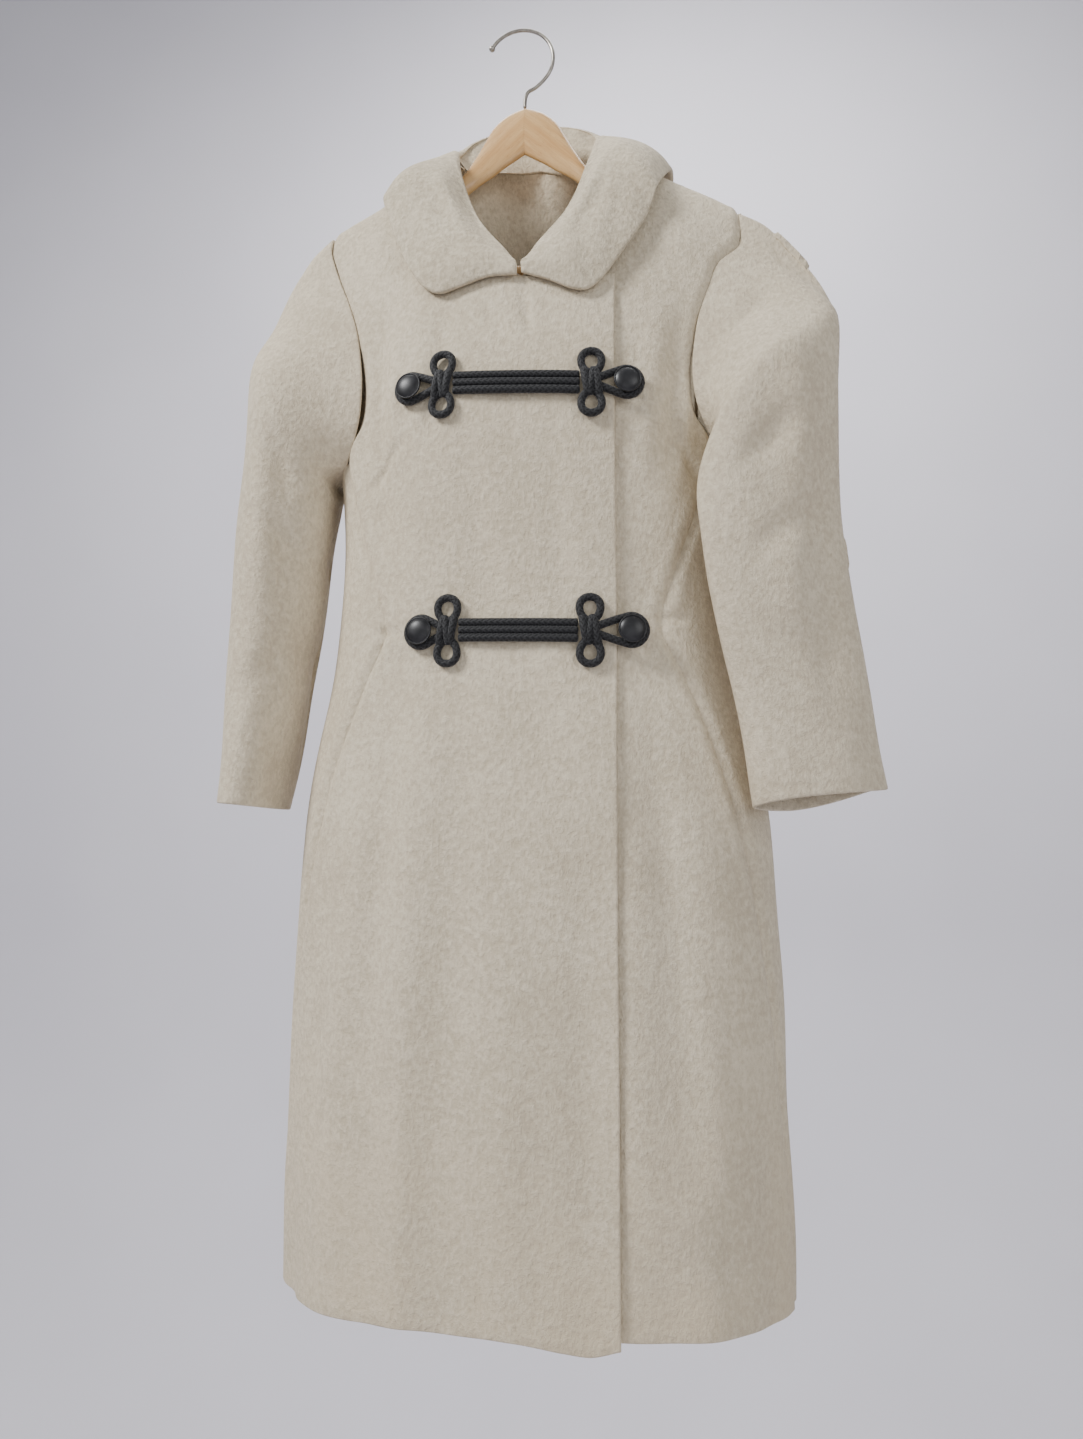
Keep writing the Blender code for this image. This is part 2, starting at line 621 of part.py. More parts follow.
def collar_section(side, share, samples):
    """Seen face of the collar at one place, and the direction across its foot.

    The line goes up the stand, round the roll and down the fall.
    """
    base, normal = neck_place(side, share)
    out, y, z = curve_through(COLLAR_ROLL, share)
    roll = np.array([CENTRE_X + side * out - COLLAR_DRIFT * share, y, z])
    edge_out, edge_z = COLLAR_EDGE[:, 1:3].T if side < 0 else COLLAR_EDGE[:, 3:5].T
    angles = side * angle_at(edge_out, edge_z)
    front = skin(angles, edge_z) + skin_normal(angles, edge_z) * COLLAR_STAND_OFF
    behind = COLLAR_EDGE_BACK[:, 1:] * (side, 1, 1) + (CENTRE_X, 0, 0)
    shares = np.concatenate([COLLAR_EDGE[:, 0], COLLAR_EDGE_BACK[:, 0]])
    edge = curve_through(np.column_stack([shares, np.vstack([front, behind])]), share)
    fall = unit(edge - roll)
    spoke = unit((base - (CENTRE_X, 0, base[2])) * (1, 1, 0))
    inward = unit((spoke @ normal) * normal - spoke)
    outward = unit(normal - (normal @ fall) * fall)
    up = unit(roll - 0.5 * (base + edge))
    up = unit(up - (up @ outward) * outward)
    centre = roll - up * COLLAR_ROLL_RADIUS
    corner = np.exp(-((share - COLLAR_SHOULDER - 0.05) / 0.14) ** 2)
    foot = (base + inward * (COLLAR_FOOT + corner * COLLAR_CORNER_IN)
            + normal * (corner * COLLAR_CORNER_LIFT - COLLAR_THICK))
    arc = [centre + COLLAR_ROLL_RADIUS * (np.sin(turn) * up - np.cos(turn) * outward)
           for turn in np.radians((0, 45, 90, 135, 180))]
    length = np.linalg.norm(edge - arc[-1])
    leaf = [arc[-1] + (edge - arc[-1]) * t + outward * COLLAR_BULGE * length * 4 * t * (1 - t)
            for t in (0.2, 0.4, 0.6, 0.8, 1.0)]
    line = [foot, 0.5 * (foot + arc[0])] + arc + [clear_of_body(point, samples) for point in leaf]
    return line, normal


def shoulder_samples():
    """Close-set places on the cloth round the neck and shoulders, with their directions."""
    angle, drop = np.meshgrid(np.arange(-180, 180, 2.0), np.arange(0.5, 200, 3.0))
    z = spread_ridge(angle) - drop
    return skin(angle, z).reshape(-1, 3), skin_normal(angle, z).reshape(-1, 3)


def clear_of_body(point, samples):
    """Move a point of the collar's leaf out to its distance from the nearest cloth."""
    places, directions = samples
    nearest = np.argmin(np.sum((places - point) ** 2, axis=1))
    reach = (point - places[nearest]) @ directions[nearest]
    return point + directions[nearest] * max(0.0, COLLAR_STAND_OFF - reach)


def on_front(out, z, rise):
    """Point over the front, at a rise above the over front's outside."""
    angle = angle_at(out, z)
    return skin(angle, z) + skin_normal(angle, z) * (LAP_LIFT + rise)


def closed_loft(name, rings, material):
    """Closed solid through matching rings of points, with a flat cap at each end."""
    rows, columns = rings.shape[:2]
    faces = grid_faces(rows, columns, True)
    faces += [tuple(range(columns)), tuple(range((rows - 1) * columns, rows * columns))]
    return add_object(name, mesh_of(name, rings.reshape(-1, 3) * MM, faces), material)


def frog_bar(name, left_out, right_out, left_z, right_z, material):
    """Three cords side by side, as one solid with a scalloped top."""
    across = np.linspace(-1.5, 1.5, 13) * 2 * CORD_RADIUS
    nearest = np.clip(np.round(across / (2 * CORD_RADIUS)), -1, 1) * 2 * CORD_RADIUS
    arch = np.sqrt(np.maximum(0, 1 - ((across - nearest) / CORD_RADIUS) ** 2))
    rise = CORD_SEAT + CORD_RADIUS * (0.75 + arch)
    across = np.concatenate([across, across[::-6]])
    rise = np.concatenate([rise, np.full(3, CORD_SEAT)])
    rings = []
    for t in np.linspace(0, 1, 11):
        out, z = left_out + (right_out - left_out) * t, left_z + (right_z - left_z) * t
        rings.append(on_front(np.full(len(across), out), z + across, rise[:, None]))
    return closed_loft(name, np.array(rings), material)


def surface_frame(out, z, rise):
    """A place on the front and its directions: across, up along the cloth, and outward."""
    centre = on_front(out, z, rise)
    across = unit(on_front(out + 2, z, rise) - on_front(out - 2, z, rise))
    outward = unit(np.cross(across, on_front(out, z + 2, rise) - on_front(out, z - 2, rise)))
    return centre, across, np.cross(outward, across), outward


def ring_points(centre, across, upward, outward, radius, half_wide, half_high, around=12, section=6):
    """A flattened ring: a small ellipse carried round a circle."""
    turn = np.linspace(0, 2 * np.pi, around, endpoint=False)[:, None, None]
    wrap = np.linspace(0, 2 * np.pi, section, endpoint=False)[None, :, None]
    spoke = np.cos(turn) * across + np.sin(turn) * upward
    return centre + spoke * (radius + half_wide * np.cos(wrap)) + outward * half_high * np.sin(wrap)


def knot(name, out, z, material):
    """Two flat loops above and below a heart, made one solid."""
    centre, across, upward, outward = surface_frame(out, z, CORD_SEAT + CORD_RADIUS)
    pieces = []
    for rise in (-KNOT_LOOP_RISE, KNOT_LOOP_RISE):
        middle = centre + upward * rise
        grid = ring_points(middle, across, upward, outward, KNOT_LOOP_RADIUS, KNOT_LOOP_WIDE, CORD_RADIUS)
        grid = np.concatenate([grid, grid[:1]])
        rows, columns = grid.shape[:2]
        faces = [tuple(i % ((rows - 1) * columns) for i in face) for face in grid_faces(rows, columns, True)]
        pieces.append(mesh_of(name, grid[:-1].reshape(-1, 3) * MM, faces))
    turn = np.linspace(0, 2 * np.pi, 12, endpoint=False)[:, None]
    spoke = np.cos(turn) * across + np.sin(turn) * upward
    profile = [(0.55, -0.95), (0.9, -0.7), (1.0, 0.0), (0.9, 0.75), (0.5, 1.15)]
    rings = np.array([centre + spoke * KNOT_HEART_RADIUS * reach + outward * CORD_RADIUS * rise
                      for reach, rise in profile])
    faces = grid_faces(5, 12, True) + [tuple(range(12)), tuple(range(48, 60))]
    heart = add_object(name, mesh_of(name, rings.reshape(-1, 3) * MM, faces), material)
    for piece in pieces:
        tool = add_object(name + "_loop", piece, material, TOOLS)
        tool.hide_render = True
        tool.display_type = "WIRE"
        join = heart.modifiers.new("join", "BOOLEAN")
        join.operation = "UNION"
        join.object = tool
    return heart


def button_loop(name, button_out, knot_out, z, material):
    """A cord from the knot round the button's shank and back."""
    centre, across, upward, outward = surface_frame(button_out, z, CORD_SEAT + CORD_RADIUS)
    towards = across * np.sign(knot_out - button_out)
    reach = abs(knot_out - button_out) - KNOT_HEART_RADIUS - CORD_RADIUS - SEAM_GAP
    bend_at = reach - LOOP_TIP_BEND
    away = np.hypot(bend_at, LOOP_TIP_BEND)
    if away > LOOP_RADIUS + 0.5:
        half = np.degrees(np.arctan2(LOOP_TIP_BEND, bend_at) + np.arccos(LOOP_RADIUS / away))
        bend = [towards * (bend_at + LOOP_TIP_BEND * np.cos(a)) + upward * LOOP_TIP_BEND * np.sin(a)
                for a in np.radians((-90, -45, 0, 45, 90))]
    else:
        half, bend = 15.0, []
    angles = np.radians(np.linspace(half, 360 - half, 13))
    points = [centre + LOOP_RADIUS * (np.cos(a) * towards + np.sin(a) * upward) for a in angles]
    points += [centre + place for place in bend]
    curve = bpy.data.curves.new(name, "CURVE")
    curve.dimensions = "3D"
    curve.bevel_depth = CORD_RADIUS * MM
    curve.bevel_resolution = 2
    spline = curve.splines.new("POLY")
    spline.points.add(len(points) - 1)
    spline.points.foreach_set("co", np.column_stack([np.array(points) * MM, np.ones(len(points))]).ravel())
    spline.use_cyclic_u = True
    return add_object(name, curve, material)


def button(name, out, z, seat, material):
    """A domed button turned about its shank, standing off the cloth by the cord's height."""
    centre, across, upward, outward = surface_frame(out, z, 0.0)
    foot = BUTTON_FOOT - seat
    arch = np.radians(np.linspace(90, 8, 5))
    profile = [(0, BUTTON_RISE + BUTTON_DOME)]
    profile += [(BUTTON_RADIUS * np.cos(a), BUTTON_RISE + 1.0 + (BUTTON_DOME - 1.0) * np.sin(a)) for a in arch[1:]]
    profile += [(BUTTON_RADIUS * 0.93, BUTTON_RISE), (SHANK_RADIUS, BUTTON_RISE), (SHANK_RADIUS, foot), (0, foot)]
    mesh = bpy.data.meshes.new(name)
    mesh.from_pydata([(r * MM, 0, h * MM) for r, h in profile], [(i, i + 1) for i in range(len(profile) - 1)], [])
    item = add_object(name, mesh, material)
    turn = item.modifiers.new("turn", "SCREW")
    turn.steps = turn.render_steps = 16
    turn.use_merge_vertices = True
    turn.merge_threshold = 0.00001
    item.matrix_world = Matrix(np.vstack([np.column_stack([across, upward, outward, centre * MM]),
                                          (0, 0, 0, 1)]).tolist())
    return item


def arm_top(side, reach):
    """Height of the wood's top edge, at a distance out from the hook."""
    out = HANGER_X + side * reach - CENTRE_X
    under_cloth = ridge(out)[0] - (WOOL + CLOTH_CLEARANCE) * RIDGE_SLOPE
    neck = curve_through(HANGER_NECK, reach)[..., 0]
    share = ease((reach - HANGER_NECK[-1, 0]) / 26)
    return neck * (1 - share) + under_cloth * share


def hanger_half(name, side, material):
    """One arm, from the flat glued joint in the middle to the heel that holds the bar."""
    reach = np.array([0.2, 10, 20, 30, 37, 46, 60, 72, 86, 105, 125, 150, HEEL_OUT - 1, HEEL_OUT,
                      HANGER_HALF_SPAN - 4, HANGER_HALF_SPAN])
    top = arm_top(side, reach)
    neck_bottom = curve_through(HANGER_NECK, reach)[..., 1]
    share = ease((reach - HANGER_NECK[-1, 0]) / 40)
    bottom = neck_bottom * (1 - share) + (top - ARM_DEPTH) * share
    bottom = np.where(reach >= HEEL_OUT, HEEL_BOTTOM, bottom)
    top[-1] -= 3
    bottom[-1] += 4
    out = HANGER_X + side * reach - CENTRE_X
    forward = ridge(out)[1] * ease(reach / 60) + ARM_TIP_BACK * ease((reach - 100) / 70)
    thick = HANGER_THICK / 2 - (HANGER_THICK - ARM_TIP_THICK) / 2 * ease((reach - 80) / 90)
    thick[-1] *= 0.7
    turn = np.linspace(0, 2 * np.pi, 12, endpoint=False)[None, :]
    across, high = np.cos(turn), np.sin(turn)
    middle, half = (top + bottom)[:, None] / 2, (top - bottom)[:, None] / 2
    x = np.broadcast_to((HANGER_X + side * reach)[:, None], (len(reach), 12))
    rings = np.stack([x, forward[:, None] + thick[:, None] * across, middle + half * high], -1)
    return closed_loft(name, rings, material)


def tube(name, points, radius, material, resolution=2):
    curve = bpy.data.curves.new(name, "CURVE")
    curve.dimensions = "3D"
    curve.bevel_depth = radius * MM
    curve.bevel_resolution = resolution
    curve.use_fill_caps = True
    spline = curve.splines.new("POLY")
    spline.points.add(len(points) - 1)
    spline.points.foreach_set("co", np.column_stack([np.array(points) * MM, np.ones(len(points))]).ravel())
    return add_object(name, curve, material)


def hook_route():
    """Up out of the wood, through a small bend, and three quarters round the hook's circle."""
    centre_x, centre_z = HOOK_CENTRE
    around = np.radians(np.linspace(-42, 150, 17))
    circle = [(centre_x + HOOK_RADIUS * np.cos(a), 0.0, centre_z + HOOK_RADIUS * np.sin(a)) for a in around]
    return [(HANGER_X, 0.0, HOOK_FOOT), (HANGER_X + 0.5, 0.0, -70.0), (5.0, 0.0, -63.5), (12.0, 0.0, -59.5)] + circle


CREAM = finish_of("cream_wool", (0.72, 0.66, 0.56), 0.95)
BLACK_CORD = finish_of("black_cord", (0.012, 0.012, 0.013), 0.6)
BLACK_BUTTON = finish_of("black_button", (0.015, 0.015, 0.016), 0.42)
BEECH = finish_of("varnished_beech", (0.62, 0.36, 0.14), 0.35)
NICKEL = finish_of("dark_nickel", (0.32, 0.31, 0.29), 0.3, 1.0)

front_piece("front_over", -1, CREAM)
front_piece("front_under", 1, CREAM)
side_piece("side_panel_left", -1, CREAM)
side_piece("side_panel_right", 1, CREAM)
back_piece("back", CREAM)
sleeve_piece("sleeve_left", -1, SLEEVE_LEFT, PACE_LEFT, CREAM)
sleeve_piece("sleeve_right", 1, SLEEVE_RIGHT, PACE_RIGHT, CREAM)
collar_piece("collar", CREAM)
for row, (left_z, right_z, left_knot, right_knot, left_button, right_button) in FROGS.items():
    frog_bar(f"frog_{row}_bar", KNOT_SPACE - left_knot, right_knot - KNOT_SPACE, left_z, right_z, BLACK_CORD)
    for place, out, at_z, button_out in (("left", -left_knot, left_z, -left_button),
                                         ("right", right_knot, right_z, right_button)):
        knot(f"frog_{row}_knot_{place}", out, at_z, BLACK_CORD)
        button_loop(f"frog_{row}_loop_{place}", button_out, out, at_z, BLACK_CORD)
        seat = 0.0 if place == "left" else LAP_LIFT
        button(f"button_{row}_{place}", button_out, at_z, seat, BLACK_BUTTON)
for place, side in (("left", -1), ("right", 1)):
    hanger_half(f"hanger_half_{place}", side, BEECH)
bar_reach = HEEL_OUT - 1.0
tube("hanger_bar", [(HANGER_X + x * bar_reach, BAR_Y, BAR_Z) for x in (-1, -0.5, 0, 0.5, 1)], BAR_RADIUS, BEECH)
tube("hanger_hook", hook_route(), HOOK_WIRE, NICKEL)
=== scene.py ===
# %% [markdown]
# # A wool coat on its wooden hanger
# Each piece of cloth is one two-parameter surface: a plan of angles and heights is laid over the
# body's sections, and the sheet gets its thickness and its rounded edges afterwards.
# Lengths in the tables are millimetres, and every mesh is finished in metres.

import bmesh
import bpy
import numpy as np
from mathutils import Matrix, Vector


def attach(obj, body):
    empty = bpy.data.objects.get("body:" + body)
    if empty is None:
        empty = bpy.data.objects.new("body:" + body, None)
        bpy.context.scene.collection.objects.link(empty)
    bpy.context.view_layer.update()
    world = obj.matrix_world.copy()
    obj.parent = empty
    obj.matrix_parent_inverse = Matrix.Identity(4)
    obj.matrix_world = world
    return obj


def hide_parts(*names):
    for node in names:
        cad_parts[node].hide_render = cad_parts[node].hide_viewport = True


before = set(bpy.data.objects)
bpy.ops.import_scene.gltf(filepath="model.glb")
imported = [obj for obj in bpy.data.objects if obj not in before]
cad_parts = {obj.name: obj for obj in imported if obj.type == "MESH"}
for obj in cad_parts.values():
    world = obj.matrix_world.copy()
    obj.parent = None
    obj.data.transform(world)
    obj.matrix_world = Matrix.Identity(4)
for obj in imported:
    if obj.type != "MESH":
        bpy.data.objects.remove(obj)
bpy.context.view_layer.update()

print(len(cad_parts), "solids in the frame")

# %% [markdown]
# ## The coat as a form
# A hanging coat is a soft tube that closes over the arms of the hanger. It could be sculpted or
# draped, but a stack of rounded sections keeps every seam in a known place. Each row of the table
# is one height. Above the arms the sections shrink to the shoulder ridge, a second table.
# Lengths are millimetres. The angle runs round the body: 0 in front, 90 at the right, 180 behind.

# %% Sizes of the body
MM = 0.001
# Driving sizes of the cloth
CENTRE_X = 12.0
WOOL = 3.0
SQUARENESS = 2.5
TOP_ROUNDNESS = 0.5
TOP_FALL = 1.6
UNDERARM_Z = -430.0
NECK_SPREAD = 60.0
NECK_PUSH = 34.0
NECK_PUSH_REACH = 20.0

# Body, one row for each height: half width, depth of the front, depth of the back
BODY_SECTIONS = np.array([
    (-1160, 212, 106, 99),
    (-1000, 210, 106, 92),
    (-850, 206, 104, 84),
    (-750, 200, 101, 76),
    (-690, 190, 97, 70),
    (-610, 177, 91, 64),
    (-520, 172, 93, 68),
    (-430, 176, 97, 74),
    (-330, 187, 97, 78),
    (-230, 202, 95, 80),
    (-80, 207, 92, 78),
], float)

# Shoulder ridge, a row for each distance out: height at the left, at the right, and y
RIDGE = np.array([
    (0, -94, -98, 2),
    (60, -125, -130, 0),
    (120, -167, -173, -13),
    (170, -200, -208, -24),
    (210, -229, -238, -32),
], float)

# Soft folds of the skirt: angle round the body, depth, width in degrees, height where it starts
FOLDS = np.array([
    (-40, 2.5, 9, -640), (-14, -2.0, 12, -760), (36, 2.5, 9, -640), (64, -2.5, 8, -800),
    (-66, -3.5, 8, -800), (118, 5.0, 11, -600), (-122, 5.5, 10, -600), (150, -5.0, 12, -680),
    (-153, -4.5, 13, -680), (178, 4.5, 12, -560),
], float)

# The over front stands off by this much, below this height, to pass over the under front
LAP_LIFT = 5.0
LAP_TOP = -264.0
print(len(BODY_SECTIONS), "body sections,", len(FOLDS), "soft folds")

# %% [markdown]
# A smooth curve through a table gives the sizes between its rows. `skin` then gives the outside of
# the cloth for whole arrays of angles and heights at once, so no piece needs a loop over points.

# %% Curves and form
def curve_through(table, at):
    """Smooth curve through a table whose first column rises or falls; returns the other columns."""
    table = table if table[0, 0] < table[-1, 0] else table[::-1]
    stations, values = table[:, 0], table[:, 1:]
    at = np.clip(np.asarray(at, float), stations[0], stations[-1])
    slopes = np.gradient(values, stations, axis=0)
    index = np.clip(np.searchsorted(stations, at, side="right") - 1, 0, len(stations) - 2)
    step = (stations[index + 1] - stations[index])[..., None]
    t = (at - stations[index])[..., None] / step
    return (values[index] * (2 * t**3 - 3 * t**2 + 1) + slopes[index] * step * (t**3 - 2 * t**2 + t)
            + values[index + 1] * (3 * t**2 - 2 * t**3) + slopes[index + 1] * step * (t**3 - t**2))


def ease(t):
    t = np.clip(t, 0.0, 1.0)
    return t * t * (3 - 2 * t)


def unit(vectors):
    return vectors / np.linalg.norm(vectors, axis=-1, keepdims=True)


def ridge(out):
    """Height and y of the shoulder ridge at a signed distance out from the coat's centre."""
    row = curve_through(RIDGE, np.abs(out))
    share_right = ease(np.asarray(out) / 60 + 0.5)
    return row[..., 0] * (1 - share_right) + row[..., 1] * share_right, row[..., 2]


def spread_ridge(angle):
    """Height of the ridge above a place given by its angle from the centre line."""
    across = np.sign(angle) * np.abs(np.sin(np.radians(angle))) ** (2 / SQUARENESS)
    return ridge(across * BODY_SECTIONS[-1, 1])[0]


def fold_depth(angle, z):
    """Soft folds: each a bell across the angle that grows down the skirt."""
    depth = np.zeros(np.broadcast(angle, z).shape)
    for place, size, width, start in FOLDS:
        turn = (np.asarray(angle) - place + 180) % 360 - 180
        depth = depth + size * np.exp(-(turn / width) ** 2) * ease((start - z) / 420)
    return depth


def skin(angle, z, behind=None):
    """Outside of the cloth. The angle runs round the body: 0 front, +90 right, 180 back.

    Below the arms each level is a superellipse. Above them it closes up to the ridge.
    """
    angle, z = np.broadcast_arrays(np.asarray(angle, float), np.asarray(z, float))
    section = curve_through(BODY_SECTIONS, z)
    sine, cosine = np.sin(np.radians(angle)), np.cos(np.radians(angle))
    across = np.sign(sine) * np.abs(sine) ** (2 / SQUARENESS)
    depth = np.abs(cosine) ** (2 / SQUARENESS)
    at_back = cosine < 0 if behind is None else np.broadcast_to(behind, angle.shape)
    out = section[..., 0] * across
    ring = np.where(at_back, section[..., 2], -section[..., 1]) * depth
    top, top_y = ridge(across * BODY_SECTIONS[-1, 1])
    push = NECK_PUSH * np.exp(-(out / NECK_SPREAD) ** 2) * ease((top - z) / NECK_PUSH_REACH)
    top_y = top_y + np.where(at_back, push, 0.0)
    fall = np.clip((top - z) / (top - UNDERARM_Z), 0, 1)
    share = np.sqrt(fall**2 + 2 * fall * TOP_ROUNDNESS) / np.sqrt(1 + 2 * TOP_ROUNDNESS)
    share = 1 - (1 - share) ** TOP_FALL
    round_angle = np.where(at_back & (cosine > 0), np.sign(angle) * 180 - angle, angle)
    grow = 1 + fold_depth(round_angle, z) / 100
    return np.stack([CENTRE_X + out * grow, top_y * (1 - share) + ring * share * grow, z], -1)


def skin_normal(angle, z, behind=None):
    """Outward direction of the cloth, from two small steps on it."""
    along = skin(angle + 0.2, z, behind) - skin(angle - 0.2, z, behind)
    down = skin(angle, z + 0.5, behind) - skin(angle, z - 0.5, behind)
    normal = np.cross(along, down)
    if behind is not None:
        normal = np.where(np.broadcast_to(behind, normal.shape[:-1])[..., None], -normal, normal)
    return unit(normal)


def lap_lift(out, z):
    """How far the over front stands off, to pass over the under front below the neckline."""
    return LAP_LIFT * ease((np.asarray(out) + 120) / 38) * ease((LAP_TOP - np.asarray(z)) / 26)


def angle_at(out, z):
    """The angle that puts a point at this distance out, at this height."""
    share = np.clip(np.asarray(out, float) / curve_through(BODY_SECTIONS, z)[..., 0], -1, 1)
    return np.degrees(np.sign(share) * np.arcsin(np.abs(share) ** (SQUARENESS / 2)))


def inset(grid, gap, sides="tblr"):
    """Draw the edges of a grid of points in by the gap: top, bottom, left and right."""
    grid = grid.copy()
    ends = {"t": (grid[0], grid[1]), "b": (grid[-1], grid[-2]),
            "l": (grid[:, 0], grid[:, 1]), "r": (grid[:, -1], grid[:, -2])}
    for side in sides:
        edge, nearby = ends[side]
        edge += unit(nearby - edge) * gap
    return grid


def grid_normals(grid, ring=False):
    if ring:
        around = np.roll(grid, -1, axis=1) - np.roll(grid, 1, axis=1)
    else:
        around = np.gradient(grid, axis=1)
    return unit(np.cross(around, np.gradient(grid, axis=0)))


def patch(top, bottom, left, right, lean=1.0):
    """Grid between four edges: the two blends of facing edges, less the blend of the corners.

    A lean over 1 keeps the shape of the right edge near that edge.
    """
    s = np.linspace(0, 1, len(top))[None, :, None]
    t = np.linspace(0, 1, len(left))[:, None, None]
    s = s**lean
    corners = ((1 - s) * (1 - t) * top[0] + s * (1 - t) * top[-1]
               + (1 - s) * t * bottom[0] + s * t * bottom[-1])
    return ((1 - t) * top[None] + t * bottom[None] + (1 - s) * left[:, None] + s * right[:, None]
            - corners)


def resample(points, count):
    """Evenly spaced points along a smooth curve through the given ones."""
    reach = np.concatenate([[0], np.cumsum(np.linalg.norm(np.diff(points, axis=0), axis=1))])
    return curve_through(np.column_stack([reach, points]), np.linspace(0, reach[-1], count))


print("form ready")

# %% [markdown]
# ## From a coarse plan to a sheet of cloth
# Thick wool shows its thickness at every edge, and each edge is soft. A Solidify modifier would
# leave it square, so the wall is worked out with its rounded rims.
# A plan has few points. `refine` draws a smooth curve through each row and each column, so the
# fine sheet still passes through the seams. `shell` then gives it thickness: the outside, a round
# edge, the inside and the other round edge form one closed loop, carried from row to row.

# %% Sheets, edges and meshes
def along(values, count):
    """Smooth curve through evenly numbered values, read at the given count of places."""
    table = np.column_stack([np.arange(len(values)), values.reshape(len(values), -1)])
    read = curve_through(table, np.linspace(0, len(values) - 1, count))
    return read.reshape((count,) + values.shape[1:])


def refine(grid, rows, columns, ring=False):
    """Finer grid through the points of a coarse one; a ring is carried round before it is read."""
    grid = along(grid, rows)
    if not ring:
        return along(grid.swapaxes(0, 1), columns).swapaxes(0, 1)
    count, lap = grid.shape[1], 3
    wide = np.concatenate([grid[:, -lap:], grid, grid[:, :lap + 1]], axis=1).swapaxes(0, 1)
    table = np.column_stack([np.arange(len(wide)) - lap, wide.reshape(len(wide), -1)])
    read = curve_through(table, np.linspace(0, count, columns, endpoint=False))
    return read.reshape((columns,) + wide.shape[1:]).swapaxes(0, 1)


def outward_normals(grid, ring=False):
    """Normals of a fine grid, turned to point away from the middle of the form."""
    normals = grid_normals(grid, ring)
    centre = grid.mean(axis=1, keepdims=True) if ring else np.array([CENTRE_X, 0.0, 0.0])
    away = (grid - centre) * (1, 1, 0)
    return normals if np.sum(normals * away) > 0 else -normals


def round_rim(flat, lift, away, thick):
    """Rows that close an edge: a quarter circle from the face down to the middle of the cloth."""
    turn = np.radians((35, 65, 90))[:, None, None]
    return flat[None] + lift[None] * np.cos(turn) + away[None] * 0.5 * thick * np.sin(turn)


def shell(outside, normals, thick):
    """Closed wall round an open sheet, all its edges rounded.

    Each row runs along the outside, round the right edge, back along the inside and round the
    left edge. The first and last rows roll inwards until both faces meet.
    """
    half = normals * thick / 2
    middle = outside - half
    turn = np.radians((30, 60, 90, 120, 150))[None, :, None]
    flats, lifts = [middle], [half]
    right = unit(middle[:, -1] - middle[:, -2])[:, None]
    left = unit(middle[:, 0] - middle[:, 1])[:, None]
    flats += [middle[:, -1:] + right * 0.5 * thick * np.sin(turn), middle[:, ::-1],
              middle[:, :1] + left * 0.5 * thick * np.sin(turn)]
    lifts += [half[:, -1:] * np.cos(turn), -half[:, ::-1], -half[:, :1] * np.cos(turn)]
    flat, lift = np.concatenate(flats, axis=1), np.concatenate(lifts, axis=1)
    top = round_rim(flat[0], lift[0], unit(flat[0] - flat[1]), thick)[::-1]
    bottom = round_rim(flat[-1], lift[-1], unit(flat[-1] - flat[-2]), thick)
    return np.concatenate([top, flat + lift, bottom])


def tube_shell(outside, normals, thick):
    """Closed wall of a tube of cloth: down the outside, round the cuff, up the inside and over."""
    half = normals * thick / 2
    middle = outside - half
    turn = np.radians((30, 60, 90, 120, 150))[:, None, None]
    down, up = unit(middle[-1] - middle[-2])[None], unit(middle[0] - middle[1])[None]
    cuff = middle[-1:] + half[-1:] * np.cos(turn) + down * 0.5 * thick * np.sin(turn)
    head = middle[:1] - half[:1] * np.cos(turn) + up * 0.5 * thick * np.sin(turn)
    return np.concatenate([outside, cuff, (middle - half)[::-1], head])


def grid_mesh(name, grid, wrap_rows=False, wrap_columns=False, uv=None):
    """Mesh of quads over a grid of points in millimetres; either direction may close on itself."""
    rows, columns = grid.shape[:2]
    r = np.arange(rows if wrap_rows else rows - 1)[:, None]
    c = np.arange(columns if wrap_columns else columns - 1)[None, :]
    corners = [(r, c), (r, c + 1), (r + 1, c + 1), (r + 1, c)]
    quads = np.stack([(a % rows) * columns + (b % columns) for a, b in corners], -1).reshape(-1, 4)
    mesh = bpy.data.meshes.new(name)
    mesh.vertices.add(rows * columns)
    mesh.vertices.foreach_set("co", (grid * MM).astype(np.float32).ravel())
    mesh.loops.add(quads.size)
    mesh.loops.foreach_set("vertex_index", quads.astype(np.int32).ravel())
    mesh.polygons.add(len(quads))
    mesh.polygons.foreach_set("loop_start", np.arange(0, quads.size, 4, dtype=np.int32))
    if uv is not None:
        layer = mesh.uv_layers.new(name="UVMap")
        length, girth = uv
        places = np.stack([np.stack(np.broadcast_arrays(length[np.minimum(a, rows - 1)], girth[b]), -1)
                           for a, b in corners], 2)
        layer.data.foreach_set("uv", places.astype(np.float32).ravel())
    mesh.update()
    mesh.validate()
    return mesh


def closed(mesh):
    """Join rims that meet, and close the small rings left at tips and ends."""
    shape = bmesh.new()
    shape.from_mesh(mesh)
    bmesh.ops.remove_doubles(shape, verts=shape.verts, dist=0.00001)
    bmesh.ops.holes_fill(shape, edges=[edge for edge in shape.edges if edge.is_boundary], sides=0)
    shape.to_mesh(mesh)
    shape.free()
    return mesh


def outside_out(mesh):
    """Turn the faces of a closed mesh outwards, judged by the sign of its volume."""
    corners = np.empty(len(mesh.vertices) * 3, np.float32)
    mesh.vertices.foreach_get("co", corners)
    corners = corners.reshape(-1, 3).astype(float)
    mesh.calc_loop_triangles()
    faces = np.empty(len(mesh.loop_triangles) * 3, np.int32)
    mesh.loop_triangles.foreach_get("vertices", faces)
    a, b, c = corners[faces.reshape(-1, 3)].swapaxes(0, 1)
    if np.sum(a * np.cross(b, c)) < 0:
        mesh.flip_normals()
    return mesh


